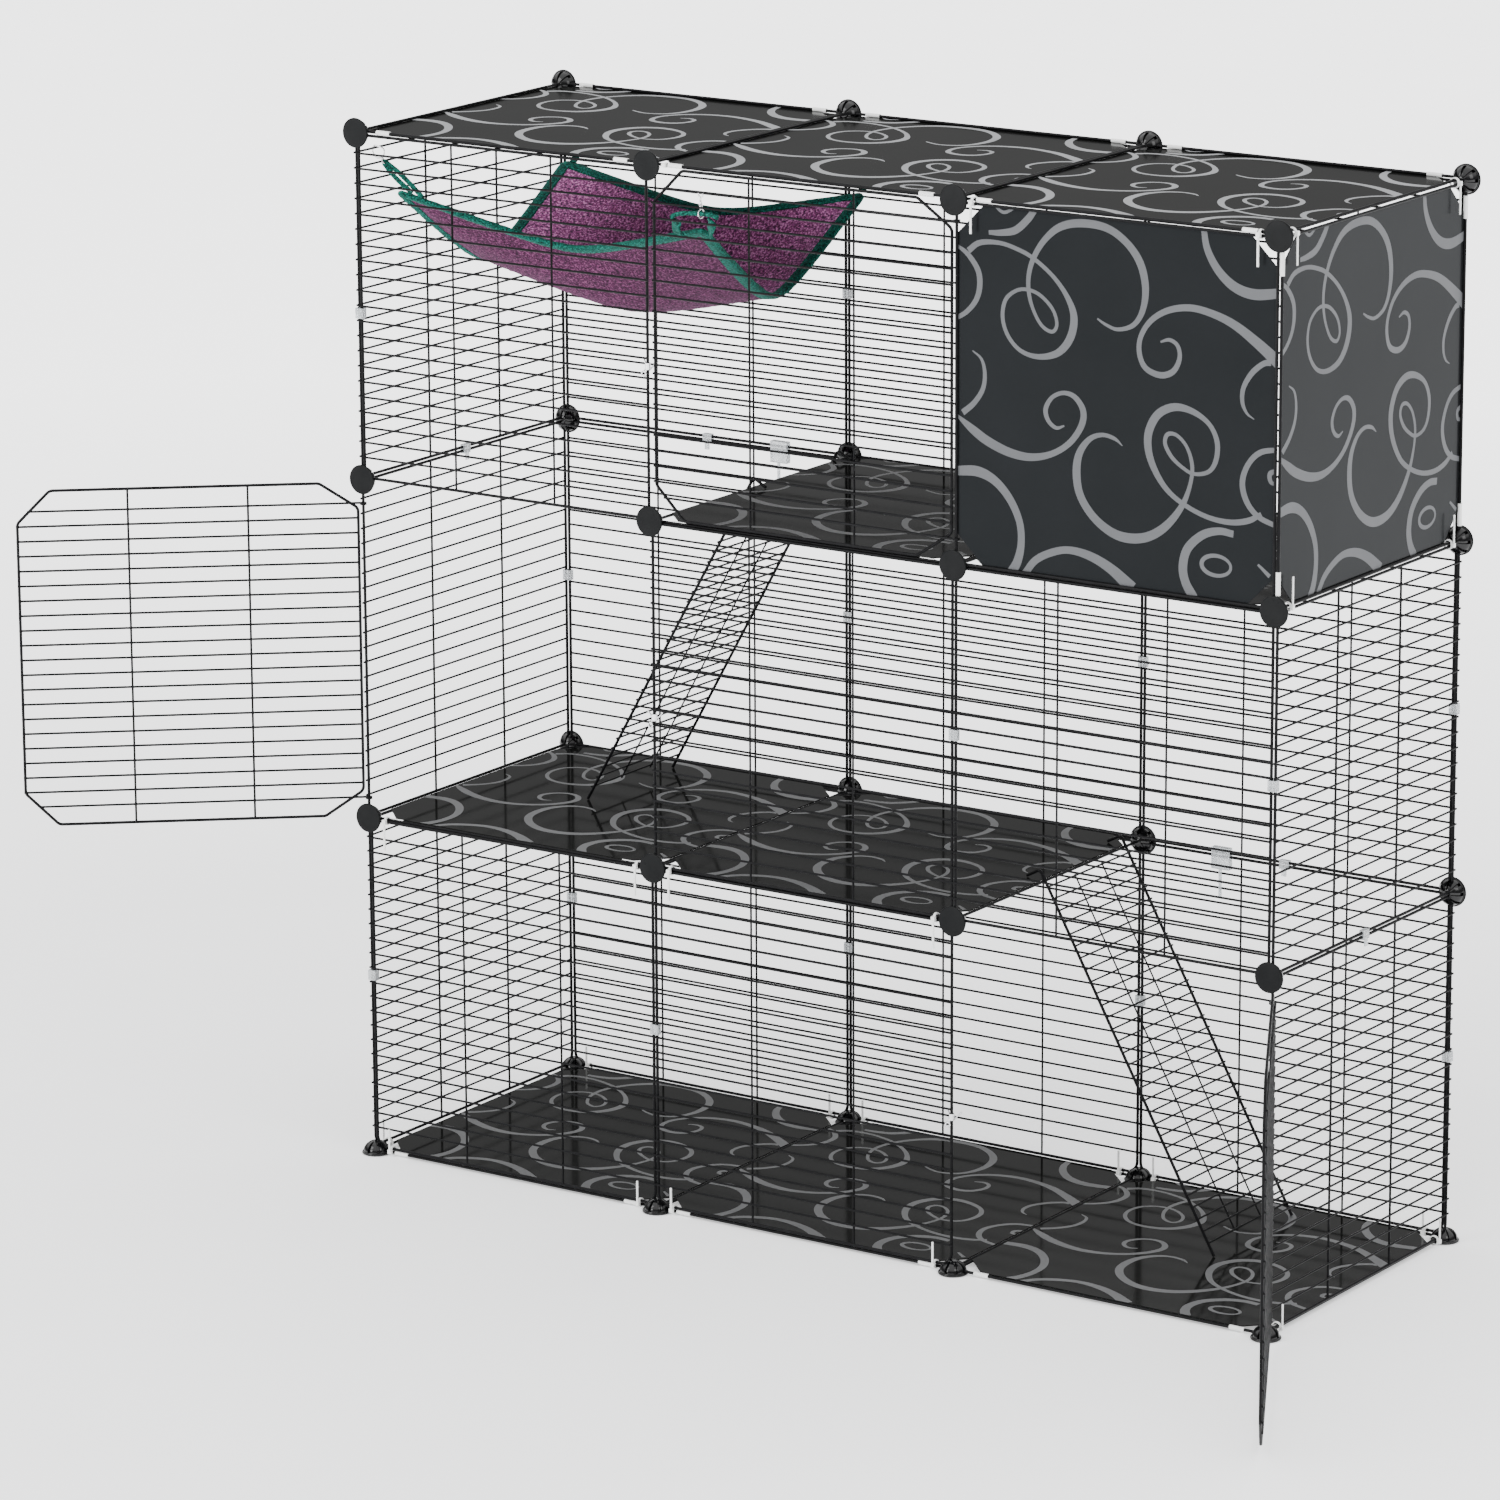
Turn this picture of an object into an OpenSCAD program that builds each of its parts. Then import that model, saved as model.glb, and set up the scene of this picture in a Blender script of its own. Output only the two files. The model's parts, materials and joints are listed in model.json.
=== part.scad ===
// Cat cage of wire and sheet panels, three cells wide and three cells high

/* [Panels] */
// outer width and height of a square panel
panel_size = 350; // [320:1:400]
// room between two neighbouring panels
panel_gap = 1; // [0.6:0.1:2]
// thickness of the wire around a panel
frame_wire_d = 3; // [2.6:0.1:3.4]
// thickness of the thin wires in a panel
inner_wire_d = 2.1; // [1.4:0.1:2.2]
// bend radius of the corner of a panel
corner_r = 12; // [10:0.5:14]
// number of level wires in a wire panel
level_wires = 21; // [9:1:21]
// room under the lowest level wire
low_gap = 21; // [19:0.5:24]
// room above the highest level wire
high_gap = 18.4; // [17:0.2:24]
// distance between the two upright inner wires
upright_span = 120; // [80:5:160]

/* [Sheets] */
// thickness of a plastic sheet
sheet_t = 1; // [0.8:0.1:1.4]
// length cut off each corner of a sheet
sheet_cut = 28; // [26:1:34]

/* [Connectors] */
// width of the round disc of a connector
disc_d = 30; // [28:0.5:34]
// thickness of the disc
disc_t = 2.4; // [2:0.1:3]
// width of the dome behind the disc
dome_d = 27; // [25:0.5:29]
// height of the dome above the disc
dome_h = 11.5; // [10:0.5:13]

/* [Doors] */
// distance from the hinge wire to the near side of a door
hinge_room = 5.3; // [5.3:0.1:8]
// room between a door and the post on its free side
free_room = 7; // [6:0.5:9]
// cut corner on the free side of a door
free_cut = 33; // [28:1:38]
// width of the cut corner on the hinge side of a door
hinge_cut_w = 39; // [34:1:44]
// height of the cut corner on the hinge side of a door
hinge_cut_h = 26; // [22:1:32]
// angle of the open middle door as photographed
door_a_open = 140; // [0:1:140]
// angle of the open lower door as photographed
door_c_open = 118.7; // [0:0.1:120]

/* [Ramps] */
// distance between the two side wires of a ramp
ramp_w = 152; // [120:1:160]
// distance from the front plane to the near side of the upper ramp
ramp_1_y = 171; // [150:1:180]
// distance from the front plane to the near side of the lower ramp
ramp_2_y = 165; // [150:1:180]
// distance between two rungs
rung_pitch = 12.7; // [11:0.1:30]
// sideways run of the upper ramp for each unit of drop
slope_1 = 0.574; // [0.5:0.01:0.65]
// sideways run of the lower ramp for each unit of drop
slope_2 = 0.558; // [0.5:0.01:0.65]

/* [Hammock] */
// thickness of the cloth
cloth_t = 4; // [3:0.5:5]
// width of the edge binding
bind_w = 11; // [8:1:14]
// thickness of the edge binding
bind_t = 6.5; // [5:0.5:8]

/* [Hidden] */
fr = frame_wire_d / 2;
wr = inner_wire_d / 2 * 1.09;
cc = panel_size - frame_wire_d;
pitch = panel_size + panel_gap;
m = (pitch - cc) / 2;
side_off = 1.8;
side_set = fr - 0.35;
shelf_set = 2.6;
yb = cc + 2 * side_set;
disc_gap = 0.2;
disc_y = -fr - disc_gap - disc_t;
base_h = side_off + fr + 2.2;
foot_t = 2.2;
lay = fr + wr - 0.9;
past = 1.8;
level_pitch = (cc - low_gap - high_gap) / (level_wires - 1);
sheet_lift = 1.3;
sheet_in = 0.8;
door_w = pitch - hinge_room - free_room + m;
door_h = pitch - 6;
door_rise = 2;
zs = base_h;
bend_more = 0.03;
bend_lap = 0.2;
wide = 3 * pitch;
shelf_cc = yb - 2 * shelf_set;
ymid = yb / 2;

// Straight round bar from p to q
module rod(p, q, r, fn = 24) {
  d = q - p;
  len = norm(d);
  translate(p)
    rotate([0, acos(d[2] / len), atan2(d[1], d[0])])
      cylinder(h = len, r = r, $fn = fn);
}

function unit(v) = v / norm(v);
function turn(a, b) = acos(max(-1, min(1, unit(a) * unit(b))));

// Arc of a bent wire at corner q between p and n
module wire_bend(p, q, n, r, b, fn) {
  u = unit(q - p);
  v = unit(n - q);
  ang = turn(u, v);
  side = unit(v - (u * v) * u);
  t = b * tan(ang / 2);
  c = q - t * u + b * side;
  k = cross(-side, u);
  multmatrix([
    [-side[0], u[0], k[0], c[0]],
    [-side[1], u[1], k[1], c[1]],
    [-side[2], u[2], k[2], c[2]],
    [0, 0, 0, 1]
  ])
    rotate_extrude(angle = ang, $fn = 48)
      translate([b, 0]) circle(r = r + bend_more, $fn = fn);
}

function cut_of(p, q, n, b) = b * tan(turn(q - p, n - q) / 2);

// Wire through the points, bent round at each inner point
module bent_wire(pts, r, b, closed = false, fn = 24) {
  n = len(pts);
  last = closed ? n - 1 : n - 2;
  for (i = [0:last]) {
    p = pts[i];
    q = pts[(i + 1) % n];
    u = unit(q - p);
    t0 = (i == 0 && !closed) ? 0 : cut_of(pts[(i + n - 1) % n], p, q, b);
    t1 = (i == last && !closed) ? 0 : cut_of(p, q, pts[(i + 2) % n], b);
    e0 = t0 > 0 ? bend_lap : 0;
    e1 = t1 > 0 ? bend_lap : 0;
    rod(p + (t0 - e0) * u, q - (t1 - e1) * u, r, fn);
  }
  first_bend = closed ? 0 : 1;
  last_bend = closed ? n - 1 : n - 2;
  for (i = [first_bend:last_bend])
    wire_bend(pts[(i + n - 1) % n], pts[i], pts[(i + 1) % n], r, b, fn);
}

// Upright wire frame, centred, in the plane y = 0
module ring(w, h, r = fr) {
  bent_wire([[-w/2, 0, -h/2], [w/2, 0, -h/2], [w/2, 0, h/2], [-w/2, 0, h/2]], r, corner_r, true);
}

// Flat wire frame, centred, in the plane z = 0
module flat_ring(w, d) {
  rotate([90, 0, 0]) ring(w, d);
}

// Wire panel, centred, outer side towards -y
module wire_panel(w, h) {
  ring(w, h);
  for (s = [-1, 1])
    rod([s * upright_span / 2, 0, -h/2], [s * upright_span / 2, 0, h/2], wr, 6);
  for (k = [0:level_wires - 1]) {
    z = -h/2 + low_gap + k * level_pitch;
    rod([-w/2 - past, -lay, z], [w/2 + past, -lay, z], wr, 6);
  }
}

function xc(i) = (i - 0.5) * pitch;
function nz(k) = zs + k * pitch;
function zc(k) = zs + (k - 0.5) * pitch;

module front_panel(i, k) {
  translate([xc(i), 0, zc(k)]) wire_panel(cc, cc);
}

module back_panel(i, k) {
  translate([xc(i), yb, zc(k)]) rotate([0, 0, 180]) wire_panel(cc, cc);
}

module left_panel(k) {
  translate([-side_off, ymid, zc(k)]) rotate([0, 0, -90]) wire_panel(cc, cc);
}

module right_panel(k) {
  translate([wide + side_off, ymid, zc(k)]) rotate([0, 0, 90]) wire_panel(cc, cc);
}

// Sheet with cut corners, lying, underside at z = 0
module sheet(w, d) {
  a = w / 2 - sheet_in;
  b = d / 2 - sheet_in;
  c = sheet_cut;
  linear_extrude(sheet_t)
    polygon([[-a + c, -b], [a - c, -b], [a, -b + c], [a, b - c],
      [a - c, b], [-a + c, b], [-a, b - c], [-a, -b + c]]);
}

floor_z = zs - side_off;
top_z = nz(3) + side_off;

module floor_sheet(i) {
  translate([xc(i), ymid, floor_z + sheet_lift]) sheet(cc, cc);
}

module shelf_sheet(i, k) {
  translate([xc(i), ymid, nz(k) + sheet_lift]) sheet(cc, shelf_cc);
}

module top_sheet(i) {
  translate([xc(i), ymid, top_z - sheet_lift - sheet_t]) sheet(cc, cc);
}

// Octagon door, closed, hinge axis on the z axis, lower node at z = 0
door_low = 20.3;
door_high = pitch - 25.4;
eye_h = 2.4;
eye_r = fr + 1.9;

module door(dir, y, turned = false) {
  x0 = dir * hinge_room;
  x1 = dir * (hinge_room + door_w);
  z0 = turned ? pitch - door_rise - door_h : door_rise;
  z1 = z0 + door_h;
  low = turned ? pitch - door_high : door_low;
  high = turned ? pitch - door_low : door_high;
  near_x = x0 + dir * hinge_cut_w;
  far_x = x1 - dir * free_cut;
  mid = (x0 + x1) / 2;
  bent_wire([[near_x, y, z0], [far_x, y, z0], [x1, y, z0 + free_cut], [x1, y, z1 - free_cut],
    [far_x, y, z1], [near_x, y, z1], [x0, y, z1 - hinge_cut_h], [x0, y, z0 + hinge_cut_h]], fr, 8, true);
  for (s = [-1, 1] * upright_span / 2)
    rod([mid + s, y, z0], [mid + s, y, z1], wr, 6);
  step = (high - low) / (level_wires - 1);
  for (k = [1:level_wires - 2])
    rod([x0 - dir * 0.6, y - lay, low + k * step], [x1 + dir * 1.6, y - lay, low + k * step], wr, 6);
  for (z = [low, high])
    hinge_wire(x1 - dir * (max(z0 + free_cut - z, z - z1 + free_cut) - 1.6), y, z, dir);
}

// Long level wire of a door with the eye that turns on the hinge wire
module hinge_wire(end_x, y, z, dir) {
  difference() {
    union() {
      rod([dir * 0.5, y - lay, z], [end_x, y - lay, z], wr, 6);
      translate([0, 0, z - eye_h / 2]) cylinder(h = eye_h, r = eye_r, $fn = 32);
    }
    translate([0, 0, z - eye_h]) cylinder(h = 2 * eye_h, r = fr + 0.12, $fn = 32);
  }
}

// Latch around a post on the z axis, arms behind the post
module latch(left, right) {
  difference() {
    translate([0, 0, -3.5]) cylinder(h = 6.5, r = fr + 1.2, $fn = 32);
    translate([0, 0, -5]) cylinder(h = 10, r = fr + 0.12, $fn = 32);
  }
  y = fr + 1.1;
  bent_wire([[-left, y, 5.4], [-0.5, y, -5.2], [right, y, 5.4]], 0.8, 1.2, false, 16);
  yf = -lay - wr - 1.7;
  rod([-0.8, -fr - 0.6, -2], [-1.3, yf, -5], 0.65, 16);
  translate([-1.5, yf, -7.4]) rotate([90, 0, 0])
    rotate_extrude($fn = 32) translate([2.4, 0]) circle(r = 0.8, $fn = 16);
}

// Ramp hanging from an edge wire on the y axis, going down towards dir
hook_h = 12;
hook_in = 18;

module ramp(dir, slope, drop) {
  a = atan(slope);
  d = [dir * sin(a), 0, -cos(a)];
  n = [dir * cos(a), 0, sin(a)];
  q = (2 * fr + 0.3) * n;
  apex = q - d * ((hook_h - q[2]) / cos(a));
  tip = [-dir * hook_in, 0, sheet_lift + sheet_t + fr + 0.1];
  foot = q + d * ((q[2] + drop - fr * sin(a) - 0.1) / cos(a));
  for (y = [0, ramp_w]) translate([0, y, 0]) bent_wire([tip, apex, foot], fr, 4);
  count = floor((norm(foot - q) - 14) / rung_pitch);
  up = fr + wr - 0.9;
  for (k = [0:count]) {
    p = q + d * (7 + k * rung_pitch) + n * up;
    rod(p + [0, -1.6, 0], p + [0, ramp_w + 1.6, 0], wr * 0.95, 6);
  }
  for (y = [1, 2] * ramp_w / 3) {
    p = q + [0, y, 0] + n * (up - 1.35 * wr);
    rod(p + d * 5.5, p + d * (8.5 + count * rung_pitch), wr * 0.8, 6);
  }
}

// Corner of a wire frame as a cutting tool
module corner_tool(p, da, db) {
  bent_wire([p + 22 * da, p, p + 22 * db], fr + 0.1, corner_r, false, 24);
}

// Disc with a dome behind it, disc face down at z = 0
module connector_body(t) {
  rad = (pow(dome_d / 2, 2) + pow(dome_h, 2)) / (2 * dome_h);
  cylinder(h = t, r = disc_d / 2, $fn = 64);
  intersection() {
    translate([0, 0, t + dome_h - rad]) sphere(r = rad, $fn = 64);
    translate([-20, -20, t - 0.4]) cube([40, 40, 30]);
  }
}

function is_door(i, k) = (i == 1 && k == 2) || (i == 2 && k == 3) || (i == 3 && k == 1);
function in_grid(c) = c >= 1 && c <= 3;
function mid_shelf(i) = i == 1 || i == 2;
function upper_shelf(i) = i == 2 || i == 3;

// Wires that pass through a connector, seen from the node of line i and level k
module node_tools(i, k, back) {
  b = back ? -1 : 1;
  dy = [0, b, 0];
  for (sx = [-1, 1], sz = [-1, 1]) {
    c = i + (sx + 1) / 2;
    r = k + (sz + 1) / 2;
    if (in_grid(c) && in_grid(r) && (back || !is_door(c, r)))
      corner_tool([sx * m, 0, sz * m], [sx, 0, 0], [0, 0, sz]);
  }
  for (sz = [-1, 1])
    if (in_grid(k + (sz + 1) / 2) && (i == 0 || i == 3))
      corner_tool([i == 0 ? -side_off : side_off, b * side_set, sz * m], dy, [0, 0, sz]);
  for (sx = [-1, 1]) {
    c = i + (sx + 1) / 2;
    if (in_grid(c)) {
      if (k == 0) corner_tool([sx * m, b * side_set, -side_off], dy, [sx, 0, 0]);
      if (k == 3) corner_tool([sx * m, b * side_set, side_off], dy, [sx, 0, 0]);
      if ((k == 1 && mid_shelf(c)) || (k == 2 && upper_shelf(c)))
        corner_tool([sx * m, b * shelf_set, 0], dy, [sx, 0, 0]);
    }
  }
}

module front_connector(i, k) {
  translate([i * pitch, 0, nz(k)])
    difference() {
      translate([0, disc_y, 0]) rotate([-90, 0, 0]) connector_body(disc_t);
      node_tools(i, k, false);
    }
}

module back_connector(i, k) {
  translate([i * pitch, yb, nz(k)])
    difference() {
      translate([0, -disc_y, 0]) rotate([90, 0, 0]) connector_body(disc_t);
      node_tools(i, k, true);
    }
}

module foot(i, back) {
  translate([i * pitch, back ? yb : 0, zs])
    difference() {
      translate([0, 0, -zs]) connector_body(foot_t);
      node_tools(i, 0, back);
    }
}

module front_connectors() {
  for (i = [0:3], k = [1:3]) front_connector(i, k);
}

module back_connectors() {
  for (i = [0:3], k = [1:3]) back_connector(i, k);
}

module feet() {
  for (i = [0:3], back = [false, true]) foot(i, back);
}

// Clear clip over two level wires or two posts, a and b are the wire places
clip_h = 10.5;
tongue = 7;

module post_clip(a, b, z) {
  lo = [min(a[0], b[0]), min(a[1], b[1])];
  hi = [max(a[0], b[0]), max(a[1], b[1])];
  w = fr + 1.1;
  difference() {
    translate([lo[0] - w, lo[1] - w, z - clip_h / 2])
      cube([hi[0] - lo[0] + 2 * w, hi[1] - lo[1] + 2 * w, clip_h]);
    for (p = [a, b])
      translate([p[0], p[1], z - clip_h]) cylinder(h = 2 * clip_h, r = fr + 0.08, $fn = 24);
  }
}

function clip_z(row, n) = nz(row - 1) + m + low_gap + (n + 0.5) * level_pitch;
half_wires = floor(level_wires / 2);

module edge_clips() {
  for (c = [[1, 1, 0], [2, 2, 0]])
    post_clip([c[0] * pitch - m, 0], [c[0] * pitch + m, 0], clip_z(c[1], half_wires));
  for (c = [[1, 3, -1], [1, 2, 0], [1, 1, 0], [2, 2, 0], [2, 1, 0]])
    post_clip([c[0] * pitch - m, yb], [c[0] * pitch + m, yb], clip_z(c[1], half_wires + c[2]));
  for (c = [[1, 0], [3, -1]])
    post_clip([m, 0], [-side_off, side_set], clip_z(c[0], half_wires + c[1]));
  post_clip([wide - m, 0], [wide + side_off, side_set], clip_z(2, half_wires));
  for (k = [1, 2]) {
    post_clip([m, yb], [-side_off, yb - side_set], clip_z(k, half_wires));
    post_clip([wide - m, yb], [wide + side_off, yb - side_set], clip_z(k, half_wires));
  }
  for (c = [[0.51, 2], [2.47, 1]])
    level_clip([c[0] * pitch, yb, nz(c[1])], 0);
  level_clip([-side_off, ymid, nz(2)], 90);
  level_clip([wide + side_off, ymid, nz(1)], 90);
  for (c = [[0.765, 2], [2.265, 1]])
    strap_clip([c[0] * pitch, yb, nz(c[1])]);
}

module level_clip(p, a) {
  w = fr + 1.1;
  translate(p) rotate([0, 0, a])
    difference() {
      union() {
        translate([-clip_h / 2, -w, -m - w]) cube([clip_h, 2 * w, 2 * m + 2 * w]);
        translate([-clip_h / 4, -w, -m - w - tongue]) cube([clip_h / 2, 1.2, tongue + 1]);
      }
      for (s = [-m, m])
        translate([-clip_h, 0, s]) rotate([0, 90, 0]) cylinder(h = 2 * clip_h, r = fr + 0.08, $fn = 24);
    }
}

// Larger clear clip with a hanging tail
strap_w = 20;
strap_top = 7;
strap_low = 15;
strap_tail = 30;

module strap_clip(p) {
  translate(p) {
    difference() {
      translate([-strap_w / 2, -4, -strap_low]) cube([strap_w, 7, strap_low + strap_top]);
      for (s = [-m, m])
        translate([-strap_w, 0, s]) rotate([0, 90, 0]) cylinder(h = 2 * strap_w, r = fr + 0.08, $fn = 24);
    }
    translate([-1.5, -3.8, -strap_low - strap_tail]) cube([3, 1.2, strap_tail + 1]);
  }
}

// Clip sleeve on a frame wire, sheet towards inw and lifted towards up
module sleeve(p, inw, up, half = false, len = 16) {
  k = cross(inw, up);
  multmatrix([
    [k[0], inw[0], up[0], p[0]],
    [k[1], inw[1], up[1], p[1]],
    [k[2], inw[2], up[2], p[2]],
    [0, 0, 0, 1]
  ])
    difference() {
      translate([-len / 2, 0, 0]) rotate([0, 90, 0]) cylinder(h = len, r = fr + 0.78, $fn = 24);
      translate([-len, 0, 0]) rotate([0, 90, 0]) cylinder(h = 2 * len, r = fr + 0.08, $fn = 24);
      translate([-len, sheet_in - 0.1, sheet_lift - 0.1]) cube([2 * len, 5, 5]);
      if (half) translate([-len, -5, -5]) cube([2 * len, 4.5, 10]);
    }
}

// Distance from a sheet sleeve to the nearer node line, level and upright
sleeve_in = 32;
sleeve_up = 26;

module sheet_sleeves() {
  for (i = [1:3], s = [-1, 1]) {
    x = xc(i) + s * (pitch / 2 - sleeve_in);
    sleeve([x, side_set, top_z], [0, 1, 0], [0, 0, -1]);
    sleeve([x, yb - side_set, top_z], [0, -1, 0], [0, 0, -1]);
    sleeve([x, side_set, floor_z], [0, 1, 0], [0, 0, 1]);
    if (mid_shelf(i)) sleeve([x, shelf_set, nz(1)], [0, 1, 0], [0, 0, 1], true);
    if (upper_shelf(i)) sleeve([x, shelf_set, nz(2)], [0, 1, 0], [0, 0, 1], true);
  }
  for (s = [-1, 1]) {
    z = zc(3) + s * (pitch / 2 - sleeve_up);
    sleeve([wide + side_off, side_set, z], [0, 1, 0], [-1, 0, 0], false, 22);
    sleeve([wide + side_off, yb - side_set, z], [0, -1, 0], [-1, 0, 0], false, 22);
  }
}

// Cable tie, ring along x, head and tail towards -y
module tie(r, up, tail = 28) {
  difference() {
    union() {
      translate([-1.2, 0, 0]) rotate([0, 90, 0]) cylinder(h = 2.4, r = r + 1, $fn = 32);
      translate([-2, -r - 3.2, -2]) cube([4, 3.6, 4]);
    }
    translate([-3, 0, 0]) rotate([0, 90, 0]) cylinder(h = 6, r = r, $fn = 32);
  }
  if (tail > 0)
    translate([-1, -r - 2.6, up > 0 ? 1.8 : -1.8 - tail]) cube([2, 1, tail]);
}

tie_x = 20.5;
low_tail = 22;

module cable_ties() {
  two = 3.2;
  three = 3.9;
  edge = 3.55;
  side = 4.25;
  for (x = [tie_x, pitch - tie_x])
    translate([x, 1.3, nz(1) - 1]) tie(two, -1);
  for (x = [pitch + tie_x, 2 * pitch - tie_x])
    translate([x, 1.22, nz(1)]) tie(three, -1);
  for (x = [2 * pitch + tie_x, wide - tie_x])
    translate([x, 0.57, nz(3) - 0.1]) tie(edge, -1);
  translate([pitch + tie_x, side_set, top_z]) tie(fr + 0.08, -1, 0);
  for (x = [tie_x, pitch - tie_x, pitch + tie_x, 2 * pitch - tie_x])
    translate([x, 0.57, zs + 0.1]) tie(edge, 1, low_tail);
  for (x = [tie_x, pitch - tie_x, pitch + tie_x, 2 * pitch - tie_x, 2 * pitch + tie_x, wide - tie_x])
    translate([x, yb - 0.57, zs + 0.1]) tie(edge, 1, low_tail);
  for (y = [tie_x, yb - tie_x]) {
    translate([wide - 0.1, y, nz(3) - 0.1]) rotate([0, 0, 90]) tie(side, -1);
    translate([wide + 0.45, y, nz(2)]) rotate([0, 0, 90]) tie(4, 1);
    translate([wide - 0.1, y, zs + 0.1]) rotate([0, 0, 90]) tie(side, 1, low_tail);
  }
  translate([0.1, tie_x, zs + 0.1]) rotate([0, 0, -90]) tie(side, 1, low_tail);
}

// Hammock as a hung square, u runs to the right and v to the back
function spot(c) = [c[0] * pitch, c[1] * yb, c[2] * pitch + zs];
fl = spot([0.1, 0.065, 2.817]);
fr_c = spot([1.165, 0.035, 2.822]);
bl = spot([0.035, 0.97, 2.783]);
br = spot([1.06, 0.97, 2.765]);
mid_f = spot([0.585, 0.205, 2.691]);
mid_b = spot([0.634, 0.865, 2.716]);
mid_l = spot([0.113, 0.455, 2.587]);
mid_r = spot([1.05, 0.575, 2.545]);

sag = 2;
round_k = 0.2;

function bow(t) = 1 - (norm([2 * t - 1, round_k]) - round_k) / (norm([1, round_k]) - round_k);
function rim(a, b, c, t) = a * (1 - t) + b * t + bow(t) * (c - (a + b) / 2);
function cloth(u, v) =
  rim(fl, fr_c, mid_f, u) * (1 - v) + rim(bl, br, mid_b, u) * v
  + rim(fl, bl, mid_l, v) * (1 - u) + rim(fr_c, br, mid_r, v) * u
  - (fl * (1 - u) * (1 - v) + fr_c * u * (1 - v) + bl * (1 - u) * v + br * u * v)
  - [0, 0, sag * 16 * u * (1 - u) * v * (1 - v)];

edge_u = bind_w / pitch;
grid = 20;

function at(i) = edge_u + 0.001 + (1 - 2 * edge_u - 0.002) * i / grid;

module hammock_cloth() {
  n = grid + 1;
  up = [for (j = [0:grid], i = [0:grid]) cloth(at(i), at(j)) + [0, 0, cloth_t / 2]];
  low = [for (p = up) p - [0, 0, cloth_t]];
  k = n * n;
  tops = [for (j = [0:grid - 1], i = [0:grid - 1]) each [
    [j * n + i, (j + 1) * n + i, (j + 1) * n + i + 1], [j * n + i, (j + 1) * n + i + 1, j * n + i + 1]]];
  lows = [for (f = tops) [f[0] + k, f[2] + k, f[1] + k]];
  loop = concat([for (i = [0:grid - 1]) i], [for (j = [0:grid - 1]) j * n + grid],
    [for (i = [0:grid - 1]) grid * n + grid - i], [for (j = [0:grid - 1]) (grid - j) * n]);
  sides = [for (i = [0:len(loop) - 1]) let (a = loop[i], b = loop[(i + 1) % len(loop)]) each
    [[a, b, b + k], [a, b + k, a + k]]];
  polyhedron(concat(up, low), concat(tops, lows, sides));
}

// Place on a square path, s from 0 to 4, at distance e from the rim
function square_at(s, e) = let (q = floor(s) % 4, f = e + (1 - 2 * e) * (s - floor(s)))
  q == 0 ? [f, e] : q == 1 ? [1 - e, f] : q == 2 ? [1 - f, 1 - e] : [e, 1 - f];

module hammock_binding() {
  count = 80;
  pts = [for (i = [0:count - 1]) let (o = square_at(4 * i / count, 0), e = square_at(4 * i / count, edge_u),
    a = cloth(o[0], o[1]), b = cloth(e[0], e[1]), h = [0, 0, bind_t / 2]) each [a + h, b + h, b - h, a - h]];
  faces = [for (i = [0:count - 1], j = [0:3]) let (n = 4 * ((i + 1) % count), p = 4 * i, k = (j + 1) % 4) each
    [[p + j, p + k, n + k], [p + j, n + k, n + j]]];
  polyhedron(pts, faces);
}

// Flat band from p to q
module band(p, q, w, t, up) {
  d = unit(q - p);
  s = unit(cross(up, d));
  k = cross(d, s);
  multmatrix([
    [d[0], s[0], k[0], p[0]],
    [d[1], s[1], k[1], p[1]],
    [d[2], s[2], k[2], p[2]],
    [0, 0, 0, 1]
  ])
    translate([0, -w / 2, -t / 2]) cube([norm(q - p), w, t]);
}

wall_wire_x = -side_off - lay;
high_wire = nz(3) - m - high_gap;
fl_ring = [wall_wire_x + 4.4, 33, high_wire - 4.05];
back_wire = high_wire - 2 * level_pitch;

module metal_ring(p, r, a, tilt = 0) {
  translate(p) rotate([0, 0, a]) rotate([0, tilt, 0]) rotate([90, 0, 0])
    rotate_extrude($fn = 48) translate([r, 0]) circle(r = ring_wire, $fn = 16);
}

seat = 0.3;
ring_wire = 1;
ring_r = 6;
swivel_r = 7;
hook_ring_r = 8.2;
swivel = [1.174 * pitch, wr - lay + seat + ring_wire, nz(2) + pitch - door_low - swivel_r];

module hammock_clips() {
  metal_ring(fl_ring, hook_ring_r, 0);
  metal_ring(swivel, swivel_r, 0);
  for (p = [hang_left, hang_right])
    metal_ring([p[0], yb + lay, back_wire - ring_drop], ring_r, 90);
}

// Loop of strap standing on the rim, seen from the front as a low bridge
module bridge(p, tilt, w_top, w_low, h, deep) {
  leg = 10;
  bar = 3.4;
  translate(p) rotate([0, -tilt, 0]) rotate([90, 0, 0]) translate([0, 0, -deep / 2])
    linear_extrude(deep)
      difference() {
        polygon([[-w_low / 2, 0], [w_low / 2, 0], [w_top / 2, h], [-w_top / 2, h]]);
        polygon([[-w_low / 2 + leg, -1], [w_low / 2 - leg, -1], [w_top / 2 - leg, h - bar],
          [-w_top / 2 + leg, h - bar]]);
      }
}

ring_drop = ring_r - ring_wire - wr - 0.06;
hang_left = cloth(0.04, 0.985);
hang_right = cloth(0.99, 0.985);
strap_t = 2;
bridge_top = 57;
bridge_low = 48;
bridge_h = 18;

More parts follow.
